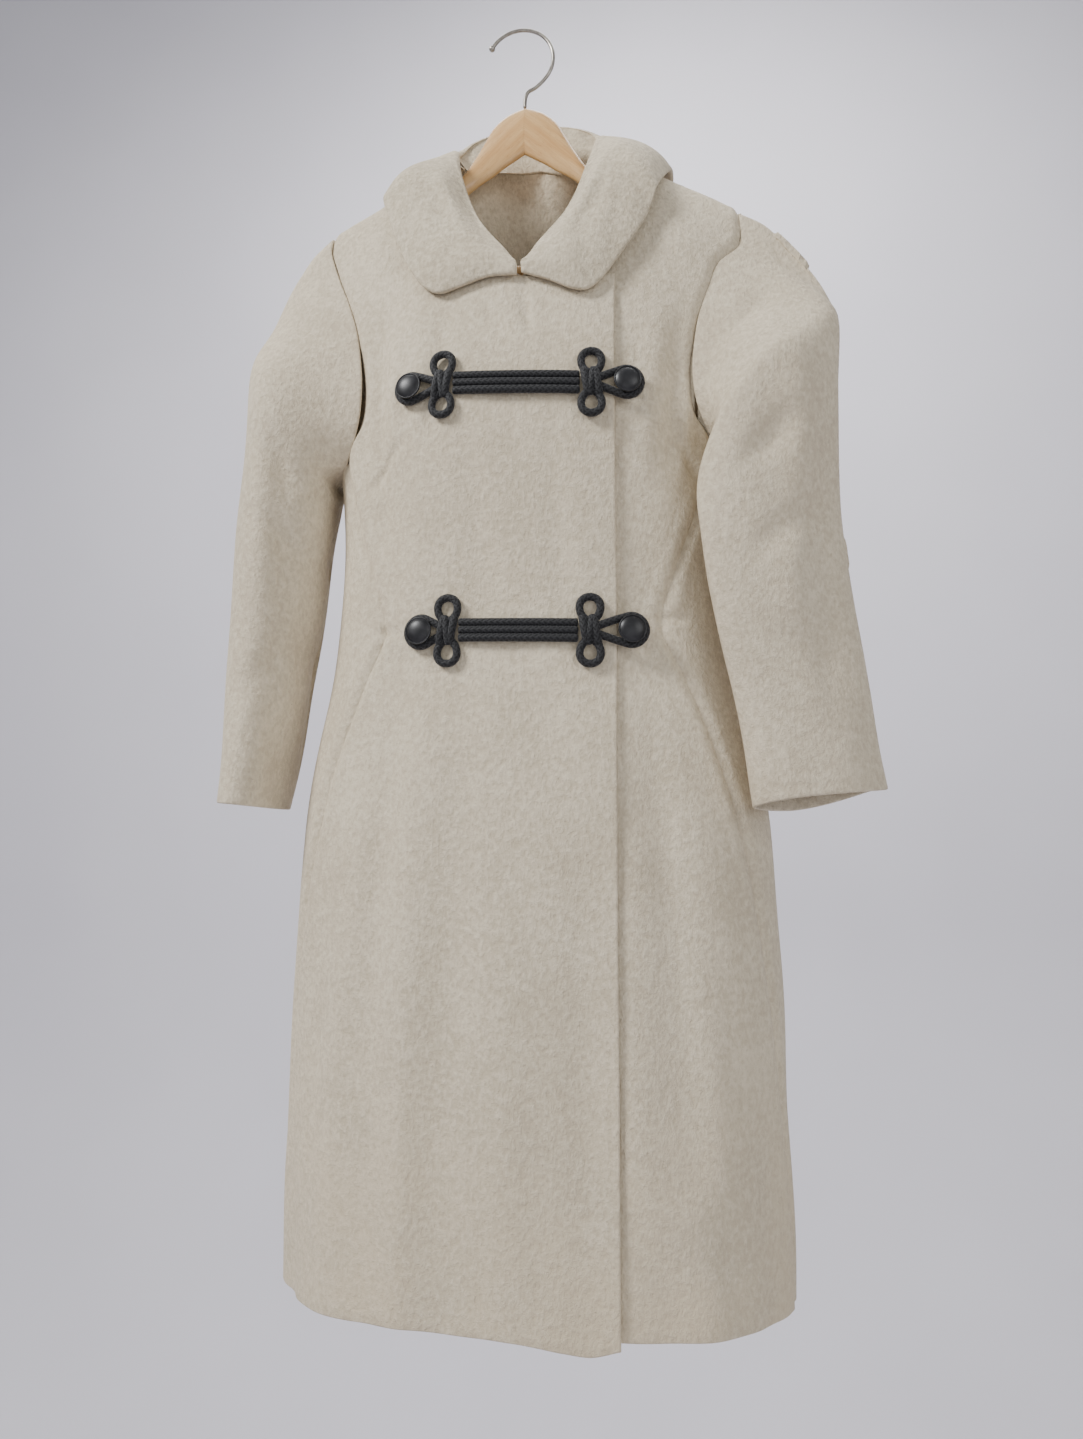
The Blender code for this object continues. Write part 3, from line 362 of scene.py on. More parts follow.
# Edges that bend more than this many degrees are shaded sharp
SHARP_ABOVE = 55.0


def add_piece(name, mesh, material, slot, *nodes):
    """Smooth-shaded piece that rides on the frame and stands for its solids."""
    mesh.materials.append(material)
    mesh.shade_smooth()
    piece = bpy.data.objects.new(name, outside_out(closed(mesh)))
    mesh.set_sharp_from_angle(angle=np.radians(SHARP_ABOVE))
    bpy.context.scene.collection.objects.link(piece)
    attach(piece, "root")
    if nodes:
        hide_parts(*nodes)
    return piece


print("mesh tools ready")

# %% [markdown]
# ## Shader values as numbers
# `Value` wraps one output of a shader node. Sums and products of such values add Math nodes, so a
# pattern can be written as a formula. `make` adds any other node, its settings first.

# %% A small language for shaders
class Value:
    """One output of a shader node, usable in sums and products."""

    def __init__(self, socket):
        self.socket, self.tree = socket, socket.id_data

    def make(self, kind, settings=None, output=0, **inputs):
        """Add a node of any kind; inputs go by name, or as i and the socket's number."""
        node = self.tree.nodes.new(kind)
        for key, setting in (settings or {}).items():
            setattr(node, key, setting)
        for key, value in inputs.items():
            numbered = key[0] == "i" and key[1:].isdigit()
            target = node.inputs[int(key[1:])] if numbered else node.inputs[key.replace("_", " ")]
            plug(target, value)
        return Value(node.outputs[output])

    def math(self, operation, *others):
        node = self.tree.nodes.new("ShaderNodeMath")
        node.operation = operation
        for target, value in zip(node.inputs, (self,) + others):
            plug(target, value)
        return Value(node.outputs[0])

    def __add__(self, other): return self.math("ADD", other)
    def __radd__(self, other): return self.math("ADD", other)
    def __sub__(self, other): return self.math("SUBTRACT", other)
    def __rsub__(self, other): return (self * -1.0).math("ADD", other)
    def __mul__(self, other): return self.math("MULTIPLY", other)
    def __rmul__(self, other): return self.math("MULTIPLY", other)
    def __abs__(self): return self.math("ABSOLUTE")

    def noise(self, size, detail=2.0, rough=0.5, stretch=(1, 1, 1)):
        """Noise from 0 to 1 with features of the given size in millimetres, stretched by axis."""
        place = self.make("ShaderNodeMapping", None, 0, Vector=self, Scale=stretch)
        return place.make("ShaderNodeTexNoise", None, 0, Vector=place, Scale=1000.0 / size,
                          Detail=detail, Roughness=rough)

    def between(self, low, high):
        """Smooth step: 0 below the low value and 1 above the high one."""
        return self.make("ShaderNodeMapRange", {"interpolation_type": "SMOOTHSTEP"}, 0,
                         Value=self, From_Min=low, From_Max=high)

    def blend(self, first, second):
        """Colour between two, this value being the share of the second."""
        return self.make("ShaderNodeMix", {"data_type": "RGBA"}, 2, i0=self, i6=first, i7=second)

    def parts(self):
        """The x, y and z of a vector."""
        node = self.tree.nodes.new("ShaderNodeSeparateXYZ")
        plug(node.inputs[0], self)
        return [Value(socket) for socket in node.outputs]


def plug(target, value):
    if isinstance(value, Value):
        target.id_data.links.new(value.socket, target)
    elif hasattr(value, "__len__") and len(value) == 3 and target.type == "RGBA":
        target.default_value = (*value, 1.0)
    else:
        target.default_value = value


def start_material(name, coordinate="Object", **constants):
    """New material, its surface node with constant sockets set, and a place on the piece."""
    material = bpy.data.materials.new(name)
    material.use_nodes = True
    surface = material.node_tree.nodes["Principled BSDF"]
    for key, value in constants.items():
        surface.inputs[key.replace("_", " ")].default_value = value
    place = Value(material.node_tree.nodes.new("ShaderNodeTexCoord").outputs[coordinate])
    return material, surface, place


def finish_material(surface, colour, roughness, height, depth):
    """Link the colour, the roughness and the bump, whose depth is in millimetres."""
    plug(surface.inputs["Base Color"], colour)
    plug(surface.inputs["Roughness"], roughness)
    bump = height.make("ShaderNodeBump", None, 0, Height=height, Distance=depth * MM, Strength=1.0)
    plug(surface.inputs["Normal"], bump)


print("shader language ready")

# %% [markdown]
# ## Boiled wool
# The coat is felted wool with a short nap. A picture of cloth would repeat and slide, so the finish
# is built from noise at the piece's own place, in several sizes laid over one another.
# The nap is felted: soft clumps a few millimetres across, with short fibres lying over them and a
# few darker hairs. Broad, faint patches and a warmer hem keep the large surfaces from looking flat.

# %% Cream wool
def wool(name, light, dark, warm, hem=True):
    material, surface, place = start_material(name, Sheen_Weight=0.12, Sheen_Roughness=0.55,
                                              Specular_IOR_Level=0.15)
    surface.inputs["Sheen Tint"].default_value = (1.0, 0.95, 0.88, 1.0)
    patches = place.noise(70, 3.0, 0.55)
    clumps = place.noise(5.5, 2.0, 0.6)
    curls = place.noise(2.4, 2.0, 0.55, (1.0, 1.0, 0.55))
    fibres = place.noise(0.75, 1.0, 0.5)
    hairs = place.noise(1.7, 3.0, 0.6, (0.45, 0.45, 1.0))
    # The colour follows the same clumps and curls as the bump: the raised nap is lighter and its hollows
    # darker. This is partly the wool's own mottling and partly painted shade in the hollows.
    shade = patches * 0.24 + clumps * 0.40 + curls * 0.36
    colour = shade.between(0.36, 0.66).blend(dark, light)
    if hem:
        height = place.parts()[2]
        low = 1.0 - height.between(-1.13, -0.86)
        colour = (low * patches.between(0.3, 0.7) * 0.55).blend(colour, warm)
    colour = (hairs.between(0.66, 0.78) * 0.45).blend(colour, tuple(0.42 * c for c in dark))
    rise = clumps * 0.5 + curls * 0.34 + fibres * 0.16
    finish_material(surface, colour, 0.86 + curls * 0.12, rise, 2.6)
    return material


WOOL_OUT = wool("cream_wool_nap", (0.70, 0.615, 0.465), (0.53, 0.45, 0.325), (0.60, 0.49, 0.335))
# The sleeves' copy of the cream wool is painted slightly darker than the body, as painted shade, and has no
# warmer hem.
WOOL_SLEEVE_PAINTED_SHADE = wool("cream_wool_sleeve_painted_shade", (0.69, 0.605, 0.455), (0.52, 0.44, 0.32), (0.6, 0.5, 0.4), False)
# The collar's copy of the cream wool is painted darker than the body, as painted shade on the collar.
WOOL_COLLAR_PAINTED_SHADE = wool("cream_wool_collar_painted_shade", (0.66, 0.58, 0.435), (0.46, 0.39, 0.28), (0.6, 0.5, 0.4), False)
print("wool made")

# %% [markdown]
# ## Cord, buttons, wood and wire
# The frogs are of braided cord, the buttons of matte plastic, the hanger of varnished beech.
# The braid is two sets of diagonal strands. Where one passes over, it hides the other, so the
# height is the larger of two rounded ridges, read from the piece's own length and girth.

# %% Braided cord
def braid(name):
    material, surface, place = start_material(name, "UV", Sheen_Weight=0.25, Sheen_Roughness=0.4,
                                              Specular_IOR_Level=0.3)
    length, girth, _ = place.parts()
    one, two = length * 2.1 + girth * 5.0, length * 2.1 - girth * 5.0
    ridge_one = abs((one * 3.14159).math("SINE"))
    ridge_two = abs((two * 3.14159).math("SINE"))
    over = ((one * 3.14159).math("COSINE") * (two * 3.14159).math("COSINE")).between(-0.15, 0.15)
    woven = ridge_one * over + ridge_two * (1.0 - over)
    grain = place.noise(300.0, 2.0, 0.6)
    # The colour follows the braid's height: the grooves between strands are painted darker, as painted shade,
    # with random grain over it.
    shade = (woven * 0.8 + grain * 0.3).between(0.35, 1.0)
    colour = shade.blend((0.0035, 0.0035, 0.004), (0.022, 0.022, 0.024))
    finish_material(surface, colour, 0.52 + grain * 0.2, woven * 0.8 + grain * 0.2, 0.45)
    return material


CORD = braid("black_braided_cord")

# %% Matte buttons
BUTTON, surface, place = start_material("black_matte_button", Specular_IOR_Level=0.45)
speck, haze = place.noise(0.9, 3.0, 0.6), place.noise(6.0, 2.0, 0.5)
colour = haze.between(0.3, 0.7).blend((0.008, 0.008, 0.009), (0.015, 0.015, 0.017))
finish_material(surface, colour, 0.34 + haze * 0.16, speck, 0.03)

# %% Varnished beech
HANGER_X = 2.0


def beech(name, lean):
    """Long grain along each arm: the place is mirrored about the joint and tilted to the arm."""
    material, surface, place = start_material(name, Coat_Weight=0.5, Coat_Roughness=0.16,
                                              Specular_IOR_Level=0.4)
    x, y, z = place.parts()
    out = abs(x - HANGER_X * MM)
    run = out * float(np.cos(lean)) - z * float(np.sin(lean))
    across = out * float(np.sin(lean)) + z * float(np.cos(lean))
    grain_place = x.make("ShaderNodeCombineXYZ", None, 0, X=run, Y=y, Z=across)
    bands = grain_place.noise(9.0, 3.0, 0.6, (0.07, 0.6, 1.0))
    streaks = grain_place.noise(1.3, 2.0, 0.65, (0.05, 0.8, 1.0))
    flecks = grain_place.noise(1.1, 1.0, 0.5, (0.28, 1.0, 1.6)).between(0.62, 0.74)
    shade = (bands * 0.6 + streaks * 0.4).between(0.34, 0.66)
    colour = shade.blend((0.60, 0.335, 0.125), (0.735, 0.465, 0.205))
    colour = (flecks * 0.45).blend(colour, (0.43, 0.21, 0.07))
    finish_material(surface, colour, 0.30 + bands * 0.16, streaks * 0.6 + flecks * -0.4, 0.06)
    return material


BEECH_ARM, BEECH_BAR = beech("beech_arm", 0.72), beech("beech_bar", 0.0)

# %% Dark nickel wire
NICKEL, surface, place = start_material("dark_nickel_wire", Metallic=1.0)
drawn, dull = place.noise(0.5, 2.0, 0.5, (1.0, 1.0, 0.2)), place.noise(8.0, 3.0, 0.6)
colour = dull.between(0.35, 0.7).blend((0.30, 0.27, 0.235), (0.47, 0.44, 0.39))
finish_material(surface, colour, 0.24 + dull * 0.2, drawn, 0.02)
print("cord, button, wood and wire made")

# %% [markdown]
# ## The pieces of cloth
# A crease is a soft trough along a straight line on the front or back view. Its depth fades out to
# both sides and towards both ends. Ridges are troughs with a depth below zero.

# %% Creases pressed into a sheet
def pressed(outside, normals, creases, behind=False):
    """Push points inwards along their normals, by a bell across each crease's line."""
    depth = np.zeros(outside.shape[:-1])
    flat = outside[..., (0, 2)] - (CENTRE_X, 0)
    for x0, z0, x1, z1, deep, wide in creases:
        start, run = np.array((x0, z0)), np.array((x1 - x0, z1 - z0))
        t = np.clip((flat - start) @ run / (run @ run), 0, 1)
        away = np.linalg.norm(flat - start - t[..., None] * run, axis=-1)
        depth += deep * np.exp(-(away / wide) ** 2) * np.sin(np.pi * (0.07 + 0.86 * t)) ** 0.6
    here = (outside[..., 1] > 0) == behind
    return outside - normals * (depth * here)[..., None]


def seam_dips(outside, normals, deep, wide, sides):
    """Draw the cloth in beside its seams, on the left or right edge of the sheet."""
    steps = np.linalg.norm(np.diff(outside, axis=1), axis=-1)
    reach = np.concatenate([np.zeros((len(outside), 1)), np.cumsum(steps, axis=1)], axis=1)
    depth = np.zeros(reach.shape)
    for side in sides:
        away = reach if side == "l" else reach[:, -1:] - reach
        depth += deep * np.exp(-(away / wide) ** 2) - 0.28 * deep * np.exp(-((away - 2.4 * wide) / wide) ** 2)
    return outside - normals * depth[..., None]


def soft_waves(outside, normals, size):
    """Shallow, uneven waves that thick cloth keeps when it hangs."""
    x, y, z = np.moveaxis(outside, -1, 0)
    wave = np.sin(x / 23 + 1.3 * np.sin(z / 71)) * np.sin(z / 47 + 0.8) + 0.6 * np.sin(x / 11 + z / 29 + y / 17)
    return outside + normals * (size * wave)[..., None]


# Creases: from x, z to x, z, then depth and width
CREASES_FRONT = np.array([
    (-132, -474, -101, -440, 3.4, 4.2), (-122, -598, -100, -601, 3.2, 3.8),
    (-128, -322, -116, -520, 4.6, 9.0), (-144, -346, -138, -470, 3.6, 7.5),
    (-106, -340, -114, -480, -3.2, 10.0), (-62, -322, -76, -440, 2.6, 10.0),
    (149, -478, 130, -438, 3.4, 4.2), (117, -592, 134, -593, 3.0, 3.8),
    (136, -336, 124, -460, 4.8, 9.0), (152, -372, 142, -490, 3.8, 7.5),
    (112, -346, 104, -470, -3.0, 10.0), (2, -308, 10, -350, 2.6, 5.0), (-32, -322, -8, -352, 2.0, 7.0),
    (-44, -420, -24, -580, 2.0, 13.0), (30, -430, 36, -590, 2.0, 13.0),
    (-96, -630, -126, -960, 4.6, 15.0), (-44, -650, -58, -1126, 3.8, 19.0),
    (104, -640, 138, -1020, 4.8, 16.0), (52, -800, 60, -1130, 3.6, 17.0),
    (-160, -740, -176, -1110, 4.2, 16.0), (-6, -840, -4, -1130, -3.0, 19.0),
    (-84, -800, -92, -1126, -3.2, 17.0), (88, -780, 100, -1126, -3.0, 17.0),
], float)
CREASES_BACK = np.array([
    (-90, -300, -120, -480, 4.4, 12.0), (96, -310, 124, -500, 4.6, 12.0),
    (-40, -560, -70, -1060, 5.0, 17.0), (60, -600, 84, -1100, 5.2, 18.0), (0, -240, 4, -420, 2.6, 14.0),
    (10, -640, 6, -1126, -4.0, 19.0),
], float)
print(len(CREASES_FRONT) + len(CREASES_BACK), "creases on the body")

# %% [markdown]
# ## Seams
# On the real coat the fronts, sides and back meet in long curved seams that nip in at the waist.
# They are drawn here as short tables of distance out and height, and shared by both neighbours, so
# the pieces meet exactly. The plans below give each piece's edges as angles and heights.

# %% Seam lines
# Neckline from the centre front to the shoulder seam: distance out, height
NECK_FRONT = np.array([(0, -299), (24, -284), (46, -258), (62, -226), (72, -190), (79, -162)], float)
# Neckline from the shoulder seam to the centre back: distance out, drop behind the ridge
NECK_BACK = np.array([(79, 0), (66, 6), (44, 10), (22, 15), (0, 19)], float)
NECK_ROW = 6.0
# Shoulder seam in front of the ridge: distance out, drop at the left, at the right
SHOULDER_SEAM = np.array([(79, 9, 20), (130, 14, 28), (186, 22, 36)], float)
# Armhole, from the shoulder down the front, under the arm and up the back
ARMHOLE_FRONT = np.array([
    (186, -243), (173, -268), (160, -298), (150, -330), (145, -362), (144, -394), (151, -424), (160, -440),
], float)
ARMHOLE_BACK = np.array([
    (158, -436), (150, -408), (147, -370), (150, -330), (158, -292), (170, -256), (181, -232),
], float)
UNDERARM_LOW = -449.0
# Over the shoulder: distance out, drop behind the ridge, and the seam's direction out, back, up
CREST = np.array([(184, 5, 0.4, 0.3, 0.85), (186.5, 0, 0.45, 0, 0.9), (187, -6, 0.4, -0.3, 0.85)], float)
ARMHOLE_STEPS = (7, 4, 7)

# Front princess seam: height, distance out; the waist nips it in to a corner
PRINCESS = np.array([
    (-440, 160), (-490, 149), (-540, 132), (-599, 115.5), (-640, 133), (-690, 154), (-740, 170),
    (-800, 183), (-870, 194), (-950, 202), (-1040, 208), (-1132, 211),
], float)
# Back princess seam: height, distance out
BACK_SEAM = np.array([(-436, 158), (-520, 142), (-610, 134), (-740, 152), (-900, 170), (-1132, 184)], float)
# Seam stations down the princess seams, shared by the pieces that meet there
SEAM_HEIGHTS = (-472, -512, -556, -599, -640, -690, -750, -830, -925, -1030, -1132)
# Hem: distance out from the centre, height; the over front's corner hangs lower
HEM_HEIGHT = -1132.0
OVER_CORNER_DIP = 9.0
FRONT_EDGE_OUT = 78.0
FRONT_LEAN = 4.0
print(len(PRINCESS), "points on each front seam")


# %% Seams as curves
def seam_drop(out):
    row = curve_through(SHOULDER_SEAM, np.abs(out))
    share_right = (np.asarray(out) > 0).astype(float)
    return row[..., 0] * (1 - share_right) + row[..., 1] * share_right


def neck_front(side):
    """The front's neckline, ending at the shoulder seam on that side."""
    line = NECK_FRONT.copy()
    line[-1, 1] = ridge(side * line[-1, 0])[0] - seam_drop(side * line[-1, 0])
    return line


def neck_back(side):
    line = NECK_BACK.copy()
    line[0, 1] = -seam_drop(side * line[0, 0])
    return line


def armhole(side):
    """Armhole stations as (out, height, behind): down the front, under the arm, up the back."""
    front = ARMHOLE_FRONT.copy()
    front[0, 1] = ridge(side * front[0, 0])[0] - seam_drop(side * front[0, 0])
    front = resample(front, ARMHOLE_STEPS[0] + 1)
    back = resample(ARMHOLE_BACK, ARMHOLE_STEPS[2])
    return front, back


def crest_points(side):
    """The seam's stations over the shoulder ridge, with their directions."""
    drop = CREST[:, 1]
    angle = side * angle_at(CREST[:, 0], ridge(side * CREST[:, 0])[0] - np.abs(drop))
    points = skin(angle, spread_ridge(angle) - np.abs(drop), drop >= 0)
    return points, unit(CREST[:, 2:] * (side, 1, 1))


def armhole_loop(side):
    """Points and directions of the armhole seam, shared by the body and the sleeve."""
    front, back = armhole(side)
    low = np.linspace(0, 1, ARMHOLE_STEPS[1] + 1)[1:-1]
    start, end = angle_at(front[-1, 0], front[-1, 1]), 180 - angle_at(back[0, 0], back[0, 1])
    under_z = front[-1, 1] + (back[0, 1] - front[-1, 1]) * low
    under_z = under_z + (UNDERARM_LOW - front[-1, 1]) * np.sin(np.pi * low)
    angles = side * np.concatenate([angle_at(front[:, 0], front[:, 1]), start + (end - start) * low,
                                    180 - angle_at(back[:, 0], back[:, 1])])
    heights = np.concatenate([front[:, 1], under_z, back[:, 1]])
    crest, crest_normals = crest_points(side)
    points = np.concatenate([skin(angles, heights), crest])
    return points, np.concatenate([skin_normal(angles, heights), crest_normals]), angles, heights


def hem_height(out):
    return HEM_HEIGHT - OVER_CORNER_DIP * np.exp(-((out - 66) / 44) ** 2)


print("seam curves ready")

# %% Plans of the fronts, sides and back
def front_plan(side):
    """One front: side -1 is the over front, whose edge crosses to the right of the centre."""
    over = side < 0
    front, _ = armhole(side)
    seam_z = np.array(SEAM_HEIGHTS, float)
    seam_out = curve_through(PRINCESS, seam_z)[:, 0]
    outer_z = np.concatenate([front[:, 1], seam_z])
    outer_out = np.concatenate([front[:, 0], seam_out])
    neck = resample(neck_front(side), 7)
    shoulder_out = np.linspace(NECK_FRONT[-1, 0], ARMHOLE_FRONT[0, 0], 6)[1:]
    shoulder_z = ridge(side * shoulder_out)[0] - seam_drop(side * shoulder_out)
    lap = np.linspace(-FRONT_EDGE_OUT, 0, 5)[:-1]
    lap_z = np.full(len(lap), NECK_FRONT[0, 1] + 0.0)
    top_out = np.concatenate([lap, neck[:, 0], shoulder_out])
    top_z = np.concatenate([lap_z, neck[:, 1], shoulder_z])
    bottom_out = np.linspace(-FRONT_EDGE_OUT, outer_out[-1], len(top_out))
    corner = np.maximum(0, 1 - (bottom_out + FRONT_EDGE_OUT) / 12) ** 2
    bottom_z = (hem_height(-bottom_out) if over else np.full(len(top_out), HEM_HEIGHT)) + corner * 4
    bottom_z[-1] = HEM_HEIGHT
    edge_z = np.interp(outer_z, [HEM_HEIGHT, outer_z[0]], [bottom_z[0], top_z[0]])
    edge_out = np.full(len(edge_z), -FRONT_EDGE_OUT)

    def coordinates(out, z):
        return np.column_stack([angle_at(out, z), z])

    plan = patch(coordinates(top_out, top_z), coordinates(bottom_out, bottom_z),
                 coordinates(edge_out, edge_z), coordinates(outer_out, outer_z), FRONT_LEAN)
    return plan * (side, 1)


def side_plan(side):
    """Side panel between the two princess seams, under the arm."""
    _, _, angles, heights = armhole_loop(side)
    first, last = ARMHOLE_STEPS[0], ARMHOLE_STEPS[0] + ARMHOLE_STEPS[1]
    seam_z = np.array(SEAM_HEIGHTS, float)
    front_angle = side * angle_at(curve_through(PRINCESS, seam_z)[:, 0], seam_z)
    back_angle = side * (180 - angle_at(curve_through(BACK_SEAM, seam_z)[:, 0], seam_z))
    top = np.column_stack([angles, heights])[first:last + 1]
    left = np.vstack([top[:1], np.column_stack([front_angle, seam_z])])
    right = np.vstack([top[-1:], np.column_stack([back_angle, seam_z])])
    bottom = np.column_stack([np.linspace(left[-1, 0], right[-1, 0], len(top)),
                              np.full(len(top), HEM_HEIGHT)])
    return patch(top, bottom, left, right)


def back_plan():
    """The back, from seam to seam, over the shoulders to the shoulder seams."""
    seam_z = np.array(SEAM_HEIGHTS, float)
    seam_out = curve_through(BACK_SEAM, seam_z)[:, 0]
    edges, tops = {}, []
    for side in (-1, 1):
        _, back = armhole(side)
        out = np.concatenate([CREST[1::-1, 0], back[::-1, 0], seam_out])
        z = np.concatenate([ridge(side * CREST[1::-1, 0])[0] - CREST[1::-1, 1], back[::-1, 1], seam_z])
        angle = side * angle_at(out, z)
        edges[side] = np.column_stack([angle, spread_ridge(angle) - z])
        edges[side][:2, 1] = CREST[1::-1, 1]
        shoulder = np.linspace(CREST[1, 0], NECK_FRONT[-1, 0], 6)
        neck = resample(neck_back(side), 6)[1:]
        out = np.concatenate([shoulder, neck[:, 0]])
        zero = np.zeros(len(shoulder))
        seam = seam_drop(side * shoulder)
        seam[0] = seam_drop(side * ARMHOLE_FRONT[0, 0])
        middle = CREST[2, 1] / seam[0] * seam
        rows = [np.concatenate([-seam, neck[:, 1]]), np.concatenate([middle, neck[:, 1] + NECK_ROW]),
                np.concatenate([zero, neck[:, 1] + 2 * NECK_ROW])]
        lines = []
        for drop, end in zip(rows, (ARMHOLE_FRONT[0, 0], CREST[2, 0], CREST[1, 0])):
            reach = out.copy()
            reach[0] = end
            z = ridge(side * reach)[0] - np.abs(drop)
            angle = side * angle_at(reach, z)
            seam_row = drop is rows[0]
            behind = np.sign(drop) * (spread_ridge(angle) - z) if seam_row else drop
            lines.append(np.column_stack([angle, behind]))
        tops.append(lines)
    left, right = tops
    first, second, top = [np.vstack([a, b[::-1][1:]]) for a, b in zip(left, right)]
    bottom_angle = np.linspace(edges[-1][-1, 0], edges[1][-1, 0], len(top))
    bottom = np.column_stack([bottom_angle, spread_ridge(bottom_angle) - HEM_HEIGHT])
    plan = patch(top, bottom, edges[-1], edges[1])
    return np.concatenate([[first, second], plan])


print("plans ready")


# %% [markdown]
# ## Fronts, sides and back
# Each plan is refined, laid on the form, creased, and closed into a sheet with rounded edges. Two
# round edges that touch leave the fine groove that reads as a seam.

# %% Body pieces
def body_sheet(name, plan, rows, columns, seams, over=False, by_drop=False, grain=0.9):
    """One body piece: the refined plan on the form, lifted where it laps over the other front."""
    fine = refine(plan, rows, columns)
    angle, z = fine[..., 0], fine[..., 1]
    if by_drop:
        drop = z
        z = spread_ridge(angle) - np.abs(drop)
        outside = skin(angle, z, drop >= 0)
        normals = outward_normals(outside)
    else:
        outside, normals = skin(angle, z), skin_normal(angle, z)
    if over:
        outside = outside + normals * lap_lift(outside[..., :1] - CENTRE_X, outside[..., 2:])
    outside = soft_waves(outside, normals, grain)
    outside = pressed(outside, normals, CREASES_FRONT)
    outside = pressed(outside, normals, CREASES_BACK, True)
    outside = inset(seam_dips(outside, normals, 2.4, 4.0, seams), 0.15)
    return add_piece(name, grid_mesh(name, shell(outside, outward_normals(outside), WOOL), False, True),
                     WOOL_OUT, "cream_wool", name)


SHEETS = {
    "front_over": body_sheet("front_over", front_plan(-1), 230, 150, "r", over=True),
    "front_under": body_sheet("front_under", front_plan(1), 230, 150, "r"),
    "side_panel_left": body_sheet("side_panel_left", side_plan(-1), 190, 50, "lr"),
    "side_panel_right": body_sheet("side_panel_right", side_plan(1), 190, 50, "lr"),
    "back": body_sheet("back", back_plan(), 230, 180, "lr", by_drop=True),
}
print("body pieces:", ", ".join(SHEETS))

# %% [markdown]
# ## Sleeves
# A set-in sleeve is a tube sewn to the armhole, and thick cloth makes its head swell over the seam.
# It is carried from the armhole's own points, so that both sides of the seam are the same curve.
# The cap swells out of the armhole and the sections below it carry the tube down to the cuff.
# Elbow creases run slanting across the inner side, deeper where the arm would bend.

# %% Sizes of the sleeves
# Sleeves, a row for each section: height, tilt, distance out, y, half across, half deep, turn
SLEEVE_LEFT = np.array([
    (-400, 66, 216, -24, 39, 60, 0),
    (-450, 40, 220, -25, 40, 58, 0),
    (-500, 18, 224, -25, 40, 56, 0),
    (-560, 5, 229, -25, 39, 54, 0),
    (-620, 0, 233, -26, 36, 53, 0),
    (-680, 0, 239, -27, 31, 53, 0),
    (-739, 3, 246, -28, 26, 53, 0),
], float)
SLEEVE_RIGHT = np.array([
    (-400, 66, 210, -66, 60, 30, 24),
    (-450, 40, 203, -66, 62, 32, 22),
    (-500, 18, 204, -67, 64, 26, 25),
    (-560, 5, 210, -66, 64, 25, 25),
    (-620, 0, 219, -64, 61, 25, 24),
    (-680, 0, 229, -60, 58, 26, 22),
    (-737, 9, 238, -57, 57, 27, 20),
], float)
# Share of the armhole that lies at the top of the tilted sections
SLEEVE_TOP_SHARE = 0.95
# How far round a section each part of the armhole leads: share of the armhole, degrees
PACE_LEFT = np.array([(0, 0), (0.2, 90), (0.45, 180), (0.75, 270), (1, 360)], float)
PACE_RIGHT = np.array([(0, 0), (0.2, 120), (0.34, 180), (0.46, 248), (0.75, 310), (1, 360)], float)
CAP_STEPS = 4
CAP_FULLNESS = 0.8
SLEEVE_ROWS = 9
print(len(SLEEVE_LEFT), "sections in each sleeve")

# %% Sleeves
# Creases of each sleeve: from x, z to x, z, then depth and width
CREASES_SLEEVE = {-1: np.array([
    (-190, -470, -226, -428, 5.4, 11.0), (-188, -530, -230, -490, 4.2, 11.0),
    (-196, -600, -236, -644, 3.6, 13.0), (-236, -360, -222, -560, -3.6, 14.0),
    (-206, -420, -212, -700, 3.0, 13.0), (-172, -334, -208, -300, 3.2, 9.0),
], float), 1: np.array([
    (184, -476, 226, -430, 5.6, 12.0), (192, -546, 242, -500, 4.6, 12.0),
    (202, -600, 256, -644, 4.0, 14.0), (232, -380, 214, -600, -3.8, 14.0),
    (172, -352, 208, -314, 3.4, 10.0), (244, -450, 246, -690, 3.0, 13.0),
], float)}


def sleeve_rings(side, sections, pace):
    """A tube: the cap swells out of the armhole, then the sections run down to the cuff."""
    points, directions, _, _ = armhole_loop(side)
    share = np.arange(len(points)) / len(points)
    turn = np.radians(np.interp(share, pace[:, 0], pace[:, 1]))
    lean = np.cos(2 * np.pi * (share - SLEEVE_TOP_SHARE))
    steps = np.linspace(0, len(sections) - 1, SLEEVE_ROWS)
    numbered = np.column_stack([np.arange(len(sections)), sections])
    rings = []
    for height, tilt, out, y, across, deep, twist in curve_through(numbered, steps):
        local_x, local_y = across * np.cos(turn), -deep * np.sin(turn)
        cosine, sine = np.cos(np.radians(twist)), np.sin(np.radians(twist))
        x = local_x * cosine - local_y * sine
        rings.append(np.column_stack([CENTRE_X + side * (out + x), y + local_x * sine + local_y * cosine,
                                      height + tilt * lean]))
    first, second = rings[0], rings[1]
    chord = np.linalg.norm(first - points, axis=1, keepdims=True) * CAP_FULLNESS
    leave = unit(np.array([side, 0.0, -0.3])) * chord
    arrive = unit(second - first) * chord
    cap = []
    for t in np.linspace(0, 1, CAP_STEPS + 1)[:-1]:
        cap.append(points * (2 * t**3 - 3 * t**2 + 1) + leave * (t**3 - 2 * t**2 + t)
                   + first * (3 * t**2 - 2 * t**3) + arrive * (t**3 - t**2))
    return np.array(cap + rings)


